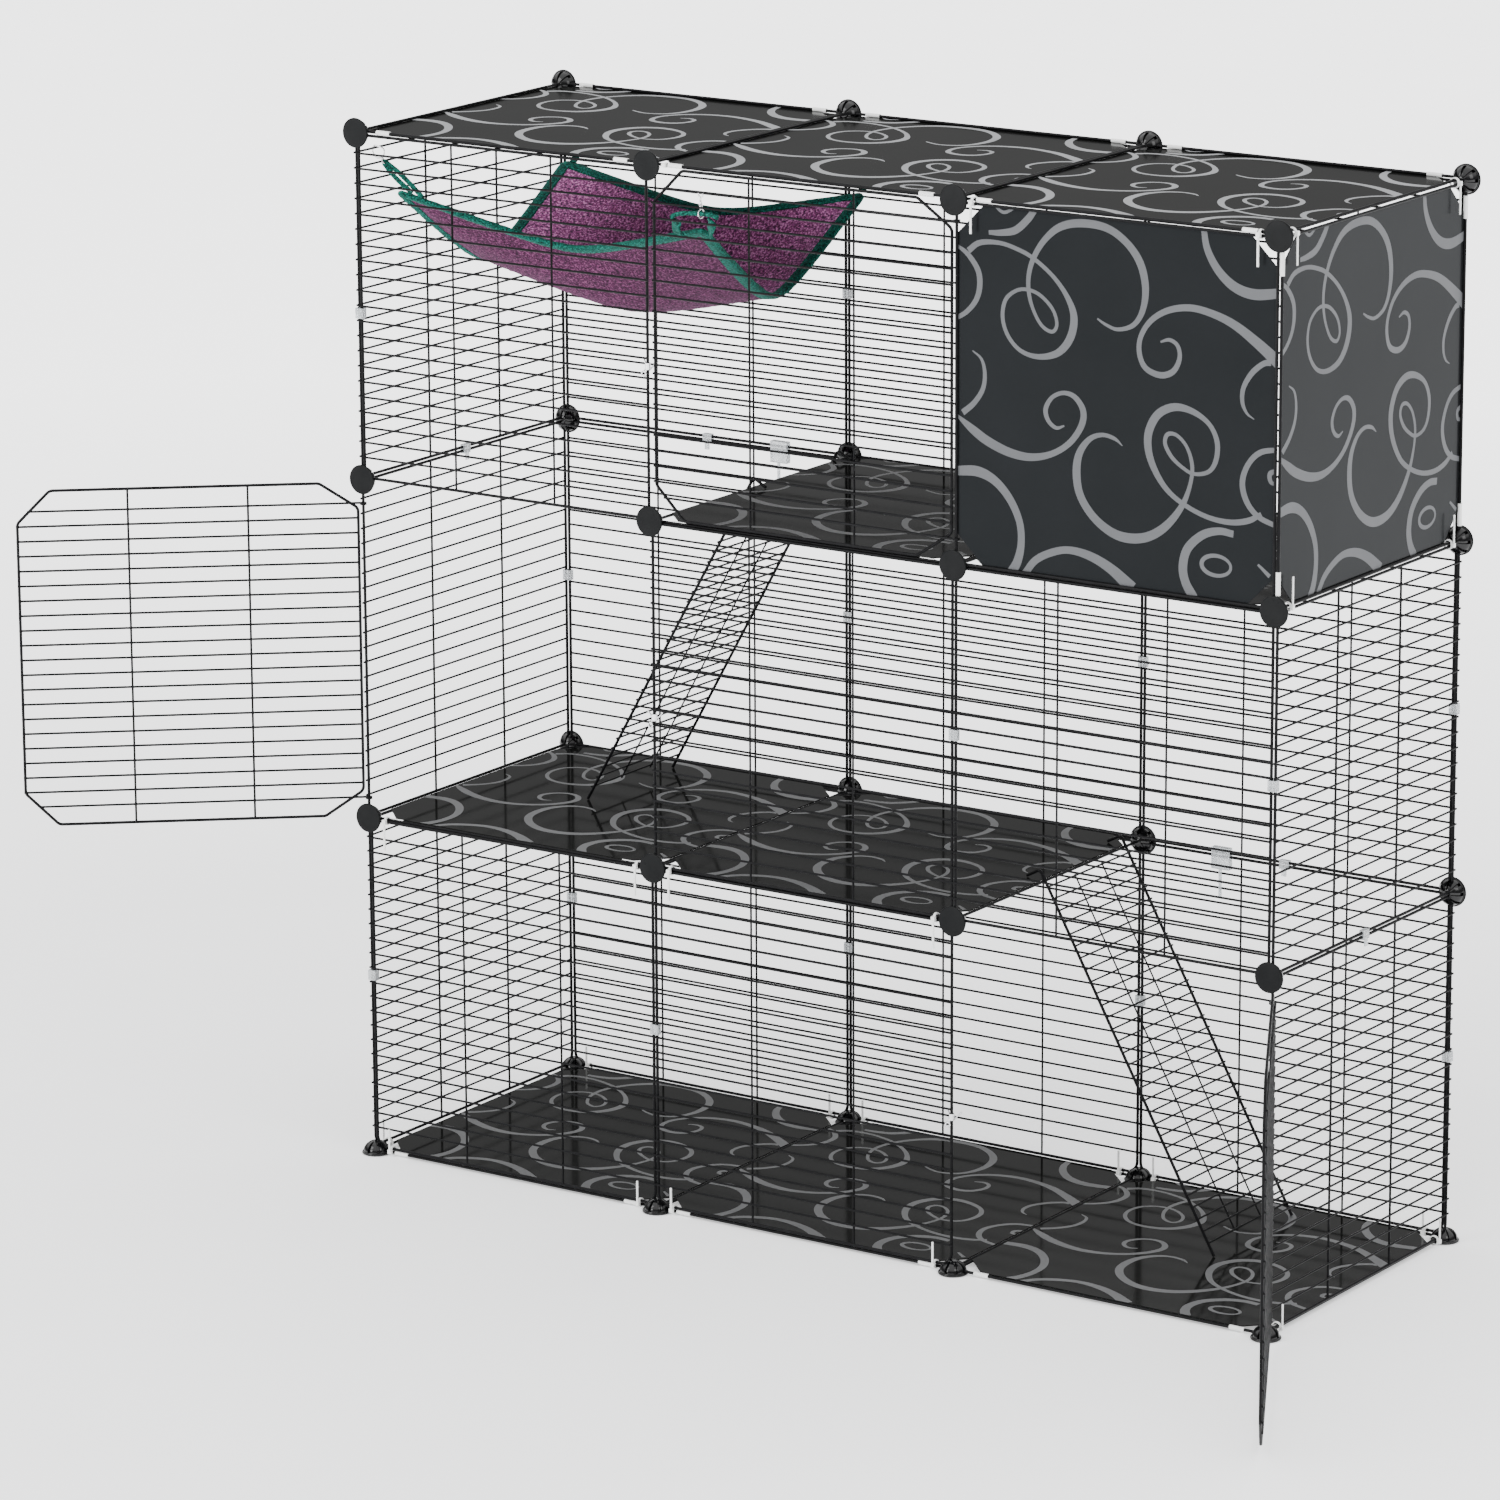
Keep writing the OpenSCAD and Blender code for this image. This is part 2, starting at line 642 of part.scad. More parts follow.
module hammock_straps() {
  b = cloth(0, 0) + [-1, 2, 0];
  out = unit([b[0] - fl_ring[0], 0, b[2] - fl_ring[2]]);
  a = fl_ring + (hook_ring_r + 1.2) * out;
  s = unit(cross([0, 0, 1], b - a));
  for (c = [[-2.5, -3.4, 0.9], [2.5, 5, 0]])
    band(a + c[0] * s, b + c[1] * s + c[2] * unit(b - a), 4.4, strap_t, [0, 0, 1]);
  bridge(cloth(0.96, 0) + [0, 4, bind_t / 2 + 0.45], 15, bridge_top, bridge_low, bridge_h, 5);
  for (c = [[hang_left, 1.6], [hang_right, 2.2]])
    band(c[0] + [0, 0, bind_t / 2 + c[1]],
      [c[0][0], yb + lay - 5.2, back_wire - ring_drop - 5.8], 9, strap_t, [0, 0, 1]);
}

module frames_floor() {
  for (i = [1:3]) translate([xc(i), ymid, floor_z]) flat_ring(cc, cc);
}

module frames_mid() {
  for (i = [1, 2]) translate([xc(i), ymid, nz(1)]) flat_ring(cc, shelf_cc);
}

module frames_upper() {
  for (i = [2, 3]) translate([xc(i), ymid, nz(2)]) flat_ring(cc, shelf_cc);
}

module frames_top() {
  for (i = [1:3]) translate([xc(i), ymid, top_z]) flat_ring(cc, cc);
}

module frame_front() {
  translate([xc(3), 0, zc(3)]) ring(cc, cc);
}

module frame_right() {
  translate([wide + side_off, ymid, zc(3)]) rotate([0, 0, 90]) ring(cc, cc);
}

module sheet_front() {
  translate([xc(3), sheet_lift + sheet_t, zc(3)]) rotate([90, 0, 0]) sheet(cc, cc);
}

module sheet_right() {
  translate([wide + side_off - sheet_lift - sheet_t, ymid, zc(3)])
    rotate([90, 0, 90]) sheet(cc, cc);
}

module door_a() {
  translate([-side_off, side_set, nz(1)]) rotate([0, 0, -door_a_open]) door(1, -side_set);
}

module door_b() {
  translate([2 * pitch + m, 0, nz(2)]) door(-1, 0, true);
}

module door_c() {
  translate([wide + side_off, side_set, nz(0)]) rotate([0, 0, door_c_open]) door(-1, -side_set);
}

function latch_z(row) = clip_z(row, floor(level_wires * 0.4));

module latch_a() {
  translate([pitch + m, 0, latch_z(2)]) latch(10, 8.8);
}

module latch_b() {
  translate([pitch - m, 0, latch_z(3)]) latch(6.2, 10);
}

module latch_c() {
  translate([2 * pitch - m, 0, latch_z(1)]) latch(6.2, 10);
}

module ramp_upper() {
  translate([pitch + m, ramp_1_y, nz(2)]) ramp(-1, slope_1, pitch - sheet_lift - sheet_t);
}

module ramp_lower() {
  translate([2 * pitch - m, ramp_2_y, nz(1)])
    ramp(1, slope_2, pitch + side_off - sheet_lift - sheet_t);
}

black = [0.09, 0.09, 0.1];
grey = [0.2, 0.2, 0.21];
steel = [0.75, 0.76, 0.78];
white = [0.93, 0.93, 0.92];
clear = [0.8, 0.83, 0.85];
teal = [0.1, 0.45, 0.4];
magenta = [0.45, 0.2, 0.42];

color(black) frames_floor();
color(black) frames_mid();
color(black) frames_upper();
color(black) frames_top();
color(black) frame_front();
color(black) frame_right();
color(grey) floor_sheet(1);  // sheet_floor_1
color(grey) floor_sheet(2);  // sheet_floor_2
color(grey) floor_sheet(3);  // sheet_floor_3
color(grey) shelf_sheet(1, 1);  // sheet_mid_1
color(grey) shelf_sheet(2, 1);  // sheet_mid_2
color(grey) shelf_sheet(2, 2);  // sheet_upper_2
color(grey) shelf_sheet(3, 2);  // sheet_upper_3
color(grey) top_sheet(1);  // sheet_top_1
color(grey) top_sheet(2);  // sheet_top_2
color(grey) top_sheet(3);  // sheet_top_3
color(grey) sheet_front();
color(grey) sheet_right();
color(black) front_panel(1, 1);  // front_1_1
color(black) front_panel(2, 1);  // front_2_1
color(black) front_panel(2, 2);  // front_2_2
color(black) front_panel(3, 2);  // front_3_2
color(black) front_panel(1, 3);  // front_1_3
color(black) back_panel(1, 1);  // back_1_1
color(black) back_panel(2, 1);  // back_2_1
color(black) back_panel(3, 1);  // back_3_1
color(black) back_panel(1, 2);  // back_1_2
color(black) back_panel(2, 2);  // back_2_2
color(black) back_panel(3, 2);  // back_3_2
color(black) back_panel(1, 3);  // back_1_3
color(black) back_panel(2, 3);  // back_2_3
color(black) back_panel(3, 3);  // back_3_3
color(black) left_panel(1);  // left_1
color(black) left_panel(2);  // left_2
color(black) left_panel(3);  // left_3
color(black) right_panel(1);  // right_1
color(black) right_panel(2);  // right_2
color(black) door_a();
color(black) door_b();
color(black) door_c();
color(steel) latch_a();
color(steel) latch_b();
color(steel) latch_c();
color(black) ramp_upper();
color(black) ramp_lower();
color(black) front_connectors();
color(black) back_connectors();
color(black) feet();
color(clear) edge_clips();
color(white) sheet_sleeves();
color(white) cable_ties();
color(magenta) hammock_cloth();
color(teal) hammock_binding();
color(teal) hammock_straps();
color(steel) hammock_clips();
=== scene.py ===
# Cat cage: looks, cloth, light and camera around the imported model
import json
import math

import bpy
import bmesh
import numpy as np
from mathutils import Matrix, Vector

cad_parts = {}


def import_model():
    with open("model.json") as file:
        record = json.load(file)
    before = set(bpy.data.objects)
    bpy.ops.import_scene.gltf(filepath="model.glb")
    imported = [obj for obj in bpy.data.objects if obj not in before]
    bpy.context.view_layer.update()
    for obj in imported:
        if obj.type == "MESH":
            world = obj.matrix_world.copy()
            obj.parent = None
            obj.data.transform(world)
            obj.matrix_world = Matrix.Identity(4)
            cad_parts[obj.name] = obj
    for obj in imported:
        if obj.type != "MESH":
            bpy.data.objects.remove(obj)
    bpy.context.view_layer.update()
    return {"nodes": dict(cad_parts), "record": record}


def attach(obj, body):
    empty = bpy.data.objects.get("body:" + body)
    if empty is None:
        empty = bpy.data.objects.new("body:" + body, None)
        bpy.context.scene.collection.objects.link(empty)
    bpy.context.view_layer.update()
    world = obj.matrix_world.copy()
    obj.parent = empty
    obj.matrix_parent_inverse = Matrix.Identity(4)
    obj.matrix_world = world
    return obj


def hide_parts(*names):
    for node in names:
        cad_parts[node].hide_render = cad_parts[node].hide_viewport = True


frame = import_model()
nodes = frame["nodes"]
rng = np.random.default_rng(7)

# Sizes of the part in millimetres
PITCH = 351.0  # one cell
BACK = 349.3  # plane of the back wall
BASE = 5.5  # lowest level of the connector grid
WIDE = 3 * PITCH
WR = 1.1445  # radius of the inner wires
LAY = 1.7445  # from a panel's plane to its inner wires
SIDE = 1.8  # from the grid to the side, floor and top panels
MID = BACK / 2
M = 2.0  # from the grid to a panel's edge


def nz(k):
    return BASE + k * PITCH


def xc(i):
    return (i - 0.5) * PITCH


def zc(k):
    return BASE + (k - 0.5) * PITCH


# Camera, from the calibrated photograph: azimuth, elevation and roll in degrees, place in metres
CAMERA_ANGLES = (34.2181, 14.5352, -0.3201)
CAMERA_PLACE = (4.2495, -5.5629, 2.2370)
CAMERA_LENS = 171.235


def make_camera():
    """Camera that looks along the fitted angles."""
    a, e, r = (math.radians(x) for x in CAMERA_ANGLES)
    forward = Vector((-math.sin(a) * math.cos(e), math.cos(a) * math.cos(e), -math.sin(e)))
    right = forward.cross(Vector((0, 0, 1))).normalized()
    up = right.cross(forward)
    side = right * math.cos(r) + up * math.sin(r)
    top = -right * math.sin(r) + up * math.cos(r)
    data = bpy.data.cameras.new("camera")
    data.lens = CAMERA_LENS
    data.sensor_width = 36
    data.clip_start = 0.1
    data.clip_end = 200
    cam = bpy.data.objects.new("camera", data)
    m = Matrix((side, top, -forward)).transposed().to_4x4()
    m.translation = Vector(CAMERA_PLACE)
    cam.matrix_world = m
    bpy.context.scene.collection.objects.link(cam)
    bpy.context.scene.camera = cam


make_camera()


# Materials
def tree_of(name):
    m = bpy.data.materials.new(name)
    m.use_nodes = True
    t = m.node_tree
    b = t.nodes["Principled BSDF"]
    return m, t, b


def noise(t, scale, detail=3.0, rough=0.5):
    """Noise in the object's own space."""
    c = t.nodes.new("ShaderNodeTexCoord")
    n = t.nodes.new("ShaderNodeTexNoise")
    n.inputs["Scale"].default_value = scale
    n.inputs["Detail"].default_value = detail
    n.inputs["Roughness"].default_value = rough
    t.links.new(c.outputs["Object"], n.inputs["Vector"])
    return n.outputs["Fac"]


def ramp(t, fac, stops):
    """Colour ramp of (place, colour) stops."""
    r = t.nodes.new("ShaderNodeValToRGB")
    el = r.color_ramp.elements
    while len(el) < len(stops):
        el.new(0.5)
    for e, (p, c) in zip(el, stops):
        e.position = p
        e.color = (*c, 1)
    t.links.new(fac, r.inputs["Fac"])
    return r.outputs["Color"]


def grey(v):
    return (v, v, v)


def bump(t, b, fac, strength, distance):
    """Bumps of a height field on a shader's normal."""
    n = t.nodes.new("ShaderNodeBump")
    n.inputs["Strength"].default_value = strength
    n.inputs["Distance"].default_value = distance
    t.links.new(fac, n.inputs["Height"])
    t.links.new(n.outputs["Normal"], b.inputs["Normal"])


def plastic(name, low, high, rough, scale, spec, bumps=(900.0, 0.15, 0.0001), coat=0.0, metal=0.0):
    """Moulded or coated surface: slow colour drift, uneven gloss and a fine skin."""
    m, t, b = tree_of(name)
    drift = noise(t, scale, 4.0)
    t.links.new(ramp(t, drift, [(0.3, low), (0.7, high)]), b.inputs["Base Color"])
    gloss = noise(t, scale * 0.7, 5.0, 0.6)
    t.links.new(ramp(t, gloss, [(0.3, grey(rough[0])), (0.7, grey(rough[1]))]), b.inputs["Roughness"])
    b.inputs["Specular IOR Level"].default_value = spec
    b.inputs["Coat Weight"].default_value = coat
    b.inputs["Coat Roughness"].default_value = 0.08
    b.inputs["Metallic"].default_value = metal
    bump(t, b, noise(t, bumps[0], 2.0), bumps[1], bumps[2])
    return m


# Surface bumps as scale of the noise, strength and height in metres
SKIN = (700.0, 0.1, 0.0001)
WAVY = (40.0, 0.03, 0.0004)
wire_mat = plastic("wire_black", (0.004, 0.004, 0.0044), (0.007, 0.007, 0.0078), (0.30, 0.44), 90, 0.07)
# One charcoal plastic in three copies whose base colour follows how light falls: lightest on the front and right walls,
# darker on the level sheets and darkest on the top sheets, as painted shade where light from above is strongest
sheet_mat = plastic("sheet_charcoal", (0.0084, 0.0091, 0.0098), (0.0104, 0.0111, 0.0119),
                    (0.16, 0.24), 9, 0.045, (260.0, 0.05, 0.0002))
sheet_mat.node_tree.nodes["Principled BSDF"].inputs["Specular Tint"].default_value = (0.80, 0.92, 1.0, 1)
top_painted_shade_mat = plastic("sheet_charcoal_top_painted_shade", (0.0030, 0.0032, 0.0030), (0.0040, 0.0042, 0.0039),
                  (0.10, 0.16), 9, 0.050, WAVY)
shelf_painted_shade_mat = plastic("sheet_charcoal_level_painted_shade", (0.0050, 0.0052, 0.0049), (0.0066, 0.0069, 0.0064),
                    (0.06, 0.12), 9, 0.090, WAVY)
# One grey print in three copies: the copy on the top sheets is more than twice as light, as painted light where light
# from above falls; the wall and level copies have nearly the same colour
wall_scroll_mat = plastic("scroll_blue_grey", (0.092, 0.095, 0.101), (0.104, 0.107, 0.113), (0.32, 0.44), 25, 0.1, SKIN)
scroll_mat = plastic("scroll_grey", (0.095, 0.097, 0.100), (0.108, 0.110, 0.114), (0.32, 0.44), 25, 0.25, SKIN)
top_scroll_painted_light_mat = plastic("scroll_grey_top_painted_light", (0.225, 0.23, 0.24), (0.255, 0.26, 0.27), (0.32, 0.44), 25, 0.3, SKIN)
disc_mat = plastic("connector_grey", (0.0066, 0.0070, 0.0074), (0.0092, 0.0096, 0.0100),
                   (0.26, 0.36), 60, 0.06, (1200.0, 0.2, 0.00008))
dome_mat = plastic("connector_gloss", (0.0025, 0.0025, 0.0028), (0.005, 0.005, 0.0055),
                   (0.08, 0.16), 60, 0.3, (500.0, 0.1, 0.00008), 0.15)
white_mat = plastic("nylon_white", (0.80, 0.81, 0.80), (0.88, 0.88, 0.87),
                    (0.30, 0.42), 120, 0.5, (900.0, 0.2, 0.0001))
metal_mat = plastic("bright_metal", (0.72, 0.73, 0.74), (0.88, 0.88, 0.89),
                    (0.10, 0.24), 160, 0.5, (1400.0, 0.15, 0.00006), 0.0, 1.0)


def clear_plastic():
    """Frosted clip: cloudy grey and half see-through."""
    m, t, b = tree_of("clear_plastic")
    cloud = [(0.35, (0.58, 0.61, 0.63)), (0.65, (0.80, 0.83, 0.85))]
    t.links.new(ramp(t, noise(t, 150, 3.0), cloud), b.inputs["Base Color"])
    t.links.new(ramp(t, noise(t, 260, 3.0), [(0.35, grey(0.12)), (0.65, grey(0.34))]), b.inputs["Roughness"])
    b.inputs["Transmission Weight"].default_value = 0.55
    b.inputs["IOR"].default_value = 1.46
    bump(t, b, noise(t, 500, 2.0), 0.3, 0.0002)
    return m


clear_mat = clear_plastic()


def fleece(name, dark, body, light, scale, sheen, sheen_tint):
    """Speckled pile: three colours in grains about 2 mm wide, with a raised nap."""
    m, t, b = tree_of(name)
    grain = noise(t, scale, 2.5, 0.65)
    colour = ramp(t, grain, [(0.40, dark), (0.48, body), (0.54, body), (0.61, light)])
    mix = t.nodes.new("ShaderNodeMix")
    mix.data_type = "RGBA"
    mix.blend_type = "MULTIPLY"
    mix.inputs["Factor"].default_value = 1.0
    t.links.new(colour, mix.inputs["A"])
    uneven = [(0.3, grey(0.82)), (0.7, grey(1.0))]
    t.links.new(ramp(t, noise(t, 14, 3.0), uneven), mix.inputs["B"])
    t.links.new(mix.outputs["Result"], b.inputs["Base Color"])
    t.links.new(ramp(t, noise(t, scale * 1.3, 2.0), uneven), b.inputs["Roughness"])
    b.inputs["Specular IOR Level"].default_value = 0.15
    b.inputs["Sheen Weight"].default_value = sheen
    b.inputs["Sheen Roughness"].default_value = 0.5
    b.inputs["Sheen Tint"].default_value = (*sheen_tint, 1)
    bump(t, b, grain, 0.9, 0.0009)
    return m


# One fleece in two copies: the copy for the underside is far darker, as painted shade against the light from the
# glowing floor
under_painted_shade_mat = fleece("fleece_magenta_under_painted_shade", (0.009, 0.0025, 0.010), (0.066, 0.0095, 0.045), (0.22, 0.062, 0.155),
                   440, 0.12, (0.9, 0.5, 0.8))
fleece_mat = fleece("fleece_magenta", (0.040, 0.012, 0.045), (0.36, 0.070, 0.25), (0.92, 0.36, 0.75),
                    440, 0.35, (0.9, 0.6, 0.85))
teal_mat = fleece("binding_teal", (0.0008, 0.014, 0.011), (0.002, 0.080, 0.058), (0.012, 0.18, 0.135),
                  520, 0.15, (0.3, 0.9, 0.75))
thread_mat = plastic("thread_teal", (0.012, 0.20, 0.16), (0.02, 0.30, 0.24),
                     (0.6, 0.8), 800, 0.3, (2500.0, 0.5, 0.0001))


class Shape:
    """Mesh made in millimetres, which becomes a Blender piece on the cage in metres."""

    def __init__(self):
        self.v = []
        self.f = []

    def add(self, verts, faces):
        n = len(self.v)
        self.v.extend(tuple(float(x) for x in p) for p in verts)
        self.f.extend(tuple(i + n for i in f) for f in faces)
        return self

    def piece(self, name, mat, sharp=None):
        me = bpy.data.meshes.new(name)
        me.from_pydata([(x / 1000, y / 1000, z / 1000) for x, y, z in self.v], [], self.f)
        me.validate()
        me.materials.append(mat)
        me.polygons.foreach_set("use_smooth", [True] * len(me.polygons))
        o = bpy.data.objects.new(name, me)
        bpy.context.scene.collection.objects.link(o)
        if sharp:
            soften(o, sharp)
        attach(o, "cage")
        return o


WELD = 0.000002  # metres


def shade_group(angle, weld):
    """Modifier nodes that merge doubled points and shade smooth up to an angle."""
    g = bpy.data.node_groups.new("soft_shade", "GeometryNodeTree")
    g.interface.new_socket("Geometry", in_out="INPUT", socket_type="NodeSocketGeometry")
    g.interface.new_socket("Geometry", in_out="OUTPUT", socket_type="NodeSocketGeometry")
    n = g.nodes
    i, o = n.new("NodeGroupInput"), n.new("NodeGroupOutput")
    last = i.outputs[0]
    if weld:
        gone = n.new("GeometryNodeRemoveAttribute")
        gone.inputs["Name"].default_value = "custom_normal"
        g.links.new(last, gone.inputs["Geometry"])
        merge = n.new("GeometryNodeMergeByDistance")
        merge.inputs["Distance"].default_value = WELD
        g.links.new(gone.outputs["Geometry"], merge.inputs["Geometry"])
        last = merge.outputs["Geometry"]
    faces = n.new("GeometryNodeSetShadeSmooth")
    faces.domain = "FACE"
    g.links.new(last, faces.inputs["Geometry"])
    edge = n.new("GeometryNodeInputMeshEdgeAngle")
    low = n.new("FunctionNodeCompare")
    low.operation = "LESS_THAN"
    g.links.new(edge.outputs[0], low.inputs[0])
    low.inputs[1].default_value = angle
    edges = n.new("GeometryNodeSetShadeSmooth")
    edges.domain = "EDGE"
    g.links.new(faces.outputs["Geometry"], edges.inputs["Geometry"])
    g.links.new(low.outputs[0], edges.inputs["Shade Smooth"])
    g.links.new(edges.outputs["Geometry"], o.inputs[0])
    return g


groups = {}


def soften(o, angle, weld=False):
    """Gives a piece the modifier nodes for its angle, made once for all."""
    key = (angle, weld)
    if key not in groups:
        groups[key] = shade_group(math.radians(angle), weld)
    o.modifiers.new("soft_shade", "NODES").node_group = groups[key]


def frames_along(points, closed=False):
    """Tangents and two carried normals along a line."""
    p = np.array(points, float)
    n = len(p)
    if closed:
        t = np.roll(p, -1, 0) - np.roll(p, 1, 0)
    else:
        t = np.gradient(p, axis=0)
    t /= np.linalg.norm(t, axis=1)[:, None]
    a = np.array([0, 0, 1.0]) if abs(t[0][2]) < 0.9 else np.array([1.0, 0, 0])
    u = np.cross(t[0], a)
    u /= np.linalg.norm(u)
    us = [u]
    for i in range(1, n):
        u = us[-1] - t[i] * (us[-1] @ t[i])
        us.append(u / np.linalg.norm(u))
    us = np.array(us)
    return p, t, us, np.cross(t, us)


def skin(rings, closed=False):
    """Faces between rings of equal length, with capped ends unless they close."""
    n, k = len(rings), len(rings[0])
    verts = [q for r in rings for q in r]
    faces = []
    for i in range(n if closed else n - 1):
        a, b = i * k, ((i + 1) % n) * k
        for j in range(k):
            m = (j + 1) % k
            faces.append((a + j, a + m, b + m, b + j))
    if not closed:
        faces.append(tuple(range(k))[::-1])
        faces.append(tuple((n - 1) * k + j for j in range(k)))
    return verts, faces


def tube(points, r, sides=12, closed=False):
    """Round bar along points; r is one radius or one for each point."""
    p, _, u, w = frames_along(points, closed)
    r = np.broadcast_to(np.array(r, float), (len(p),))
    ang = np.arange(sides) * 2 * np.pi / sides
    rings = [[p[i] + r[i] * (np.cos(a) * u[i] + np.sin(a) * w[i]) for a in ang] for i in range(len(p))]
    return skin(rings, closed)


def smooth_line(points, steps=8, closed=False):
    """Catmull-Rom line through points of any dimension."""
    p = [np.array(q, float) for q in points]
    n = len(p)
    out = []
    for i in range(n if closed else n - 1):
        if closed:
            a, b, c, d = (p[(i + k) % n] for k in (-1, 0, 1, 2))
        else:
            b, c = p[i], p[i + 1]
            a = p[i - 1] if i > 0 else 2 * b - c
            d = p[i + 2] if i + 2 < n else 2 * c - b
        for s in range(steps):
            x = s / steps
            square = 2 * a - 5 * b + 4 * c - d
            cube = 3 * b - a - 3 * c + d
            out.append(0.5 * (2 * b + (c - a) * x + square * x * x + cube * x ** 3))
    if not closed:
        out.append(p[-1])
    return out


def arc(c, u, v, r, a0, a1, n):
    """Points of an arc around c in the plane of u and v, angles in degrees."""
    c, u, v = (np.array(x, float) for x in (c, u, v))
    return [c + r * (math.cos(a) * u + math.sin(a) * v) for a in np.radians(np.linspace(a0, a1, n))]


LATHE_SIDES = 64


def lathe(profile):
    """Turned shape around z from (radius, height) pairs; a radius of 0 closes it."""
    sides = LATHE_SIDES
    s = Shape()
    rows = []
    for r, z in profile:
        if r < 1e-6:
            rows.append([len(s.v)])
            s.v.append((0.0, 0.0, z))
        else:
            rows.append(list(range(len(s.v), len(s.v) + sides)))
            s.v.extend((r * math.cos(a), r * math.sin(a), z) for a in np.arange(sides) * 2 * np.pi / sides)
    for a, b in zip(rows, rows[1:]):
        for j in range(sides):
            m = (j + 1) % sides
            q = [a[j % len(a)], a[m % len(a)], b[m % len(b)], b[j % len(b)]]
            face = tuple(dict.fromkeys(q))
            if len(face) > 2:
                s.f.append(face)
    return s


def placed(shape, m, offset):
    """Points of a shape turned by a 3x3 matrix and moved."""
    m = np.array(m, float)
    return [m @ np.array(p) + np.array(offset, float) for p in shape.v], shape.f


# Finish of the CAD nodes that stay; edges sharper than these degrees stay sharp
NODE_ANGLE = 66
PIECE_ANGLE = 40
record_slot = {s["node"]: s["material_slot"] for s in frame["record"]["subparts"]}
by_slot = {"wire": wire_mat, "door_wire": wire_mat, "connector": disc_mat, "clear_clip": clear_mat,
           "white_plastic": white_mat, "fleece": fleece_mat, "binding": teal_mat, "bright_metal": metal_mat}
for name, o in nodes.items():
    mat = by_slot.get(record_slot[name])
    if mat is None:
        # Level and top sheets take the charcoal copies darkened as painted shade; the walls keep the lightest copy
        mat = shelf_painted_shade_mat
        if name in ("sheet_front", "sheet_right"):
            mat = sheet_mat
        elif name.startswith("sheet_top"):
            mat = top_painted_shade_mat
    o.data.materials.clear()
    o.data.materials.append(mat)
    soften(o, NODE_ANGLE, True)


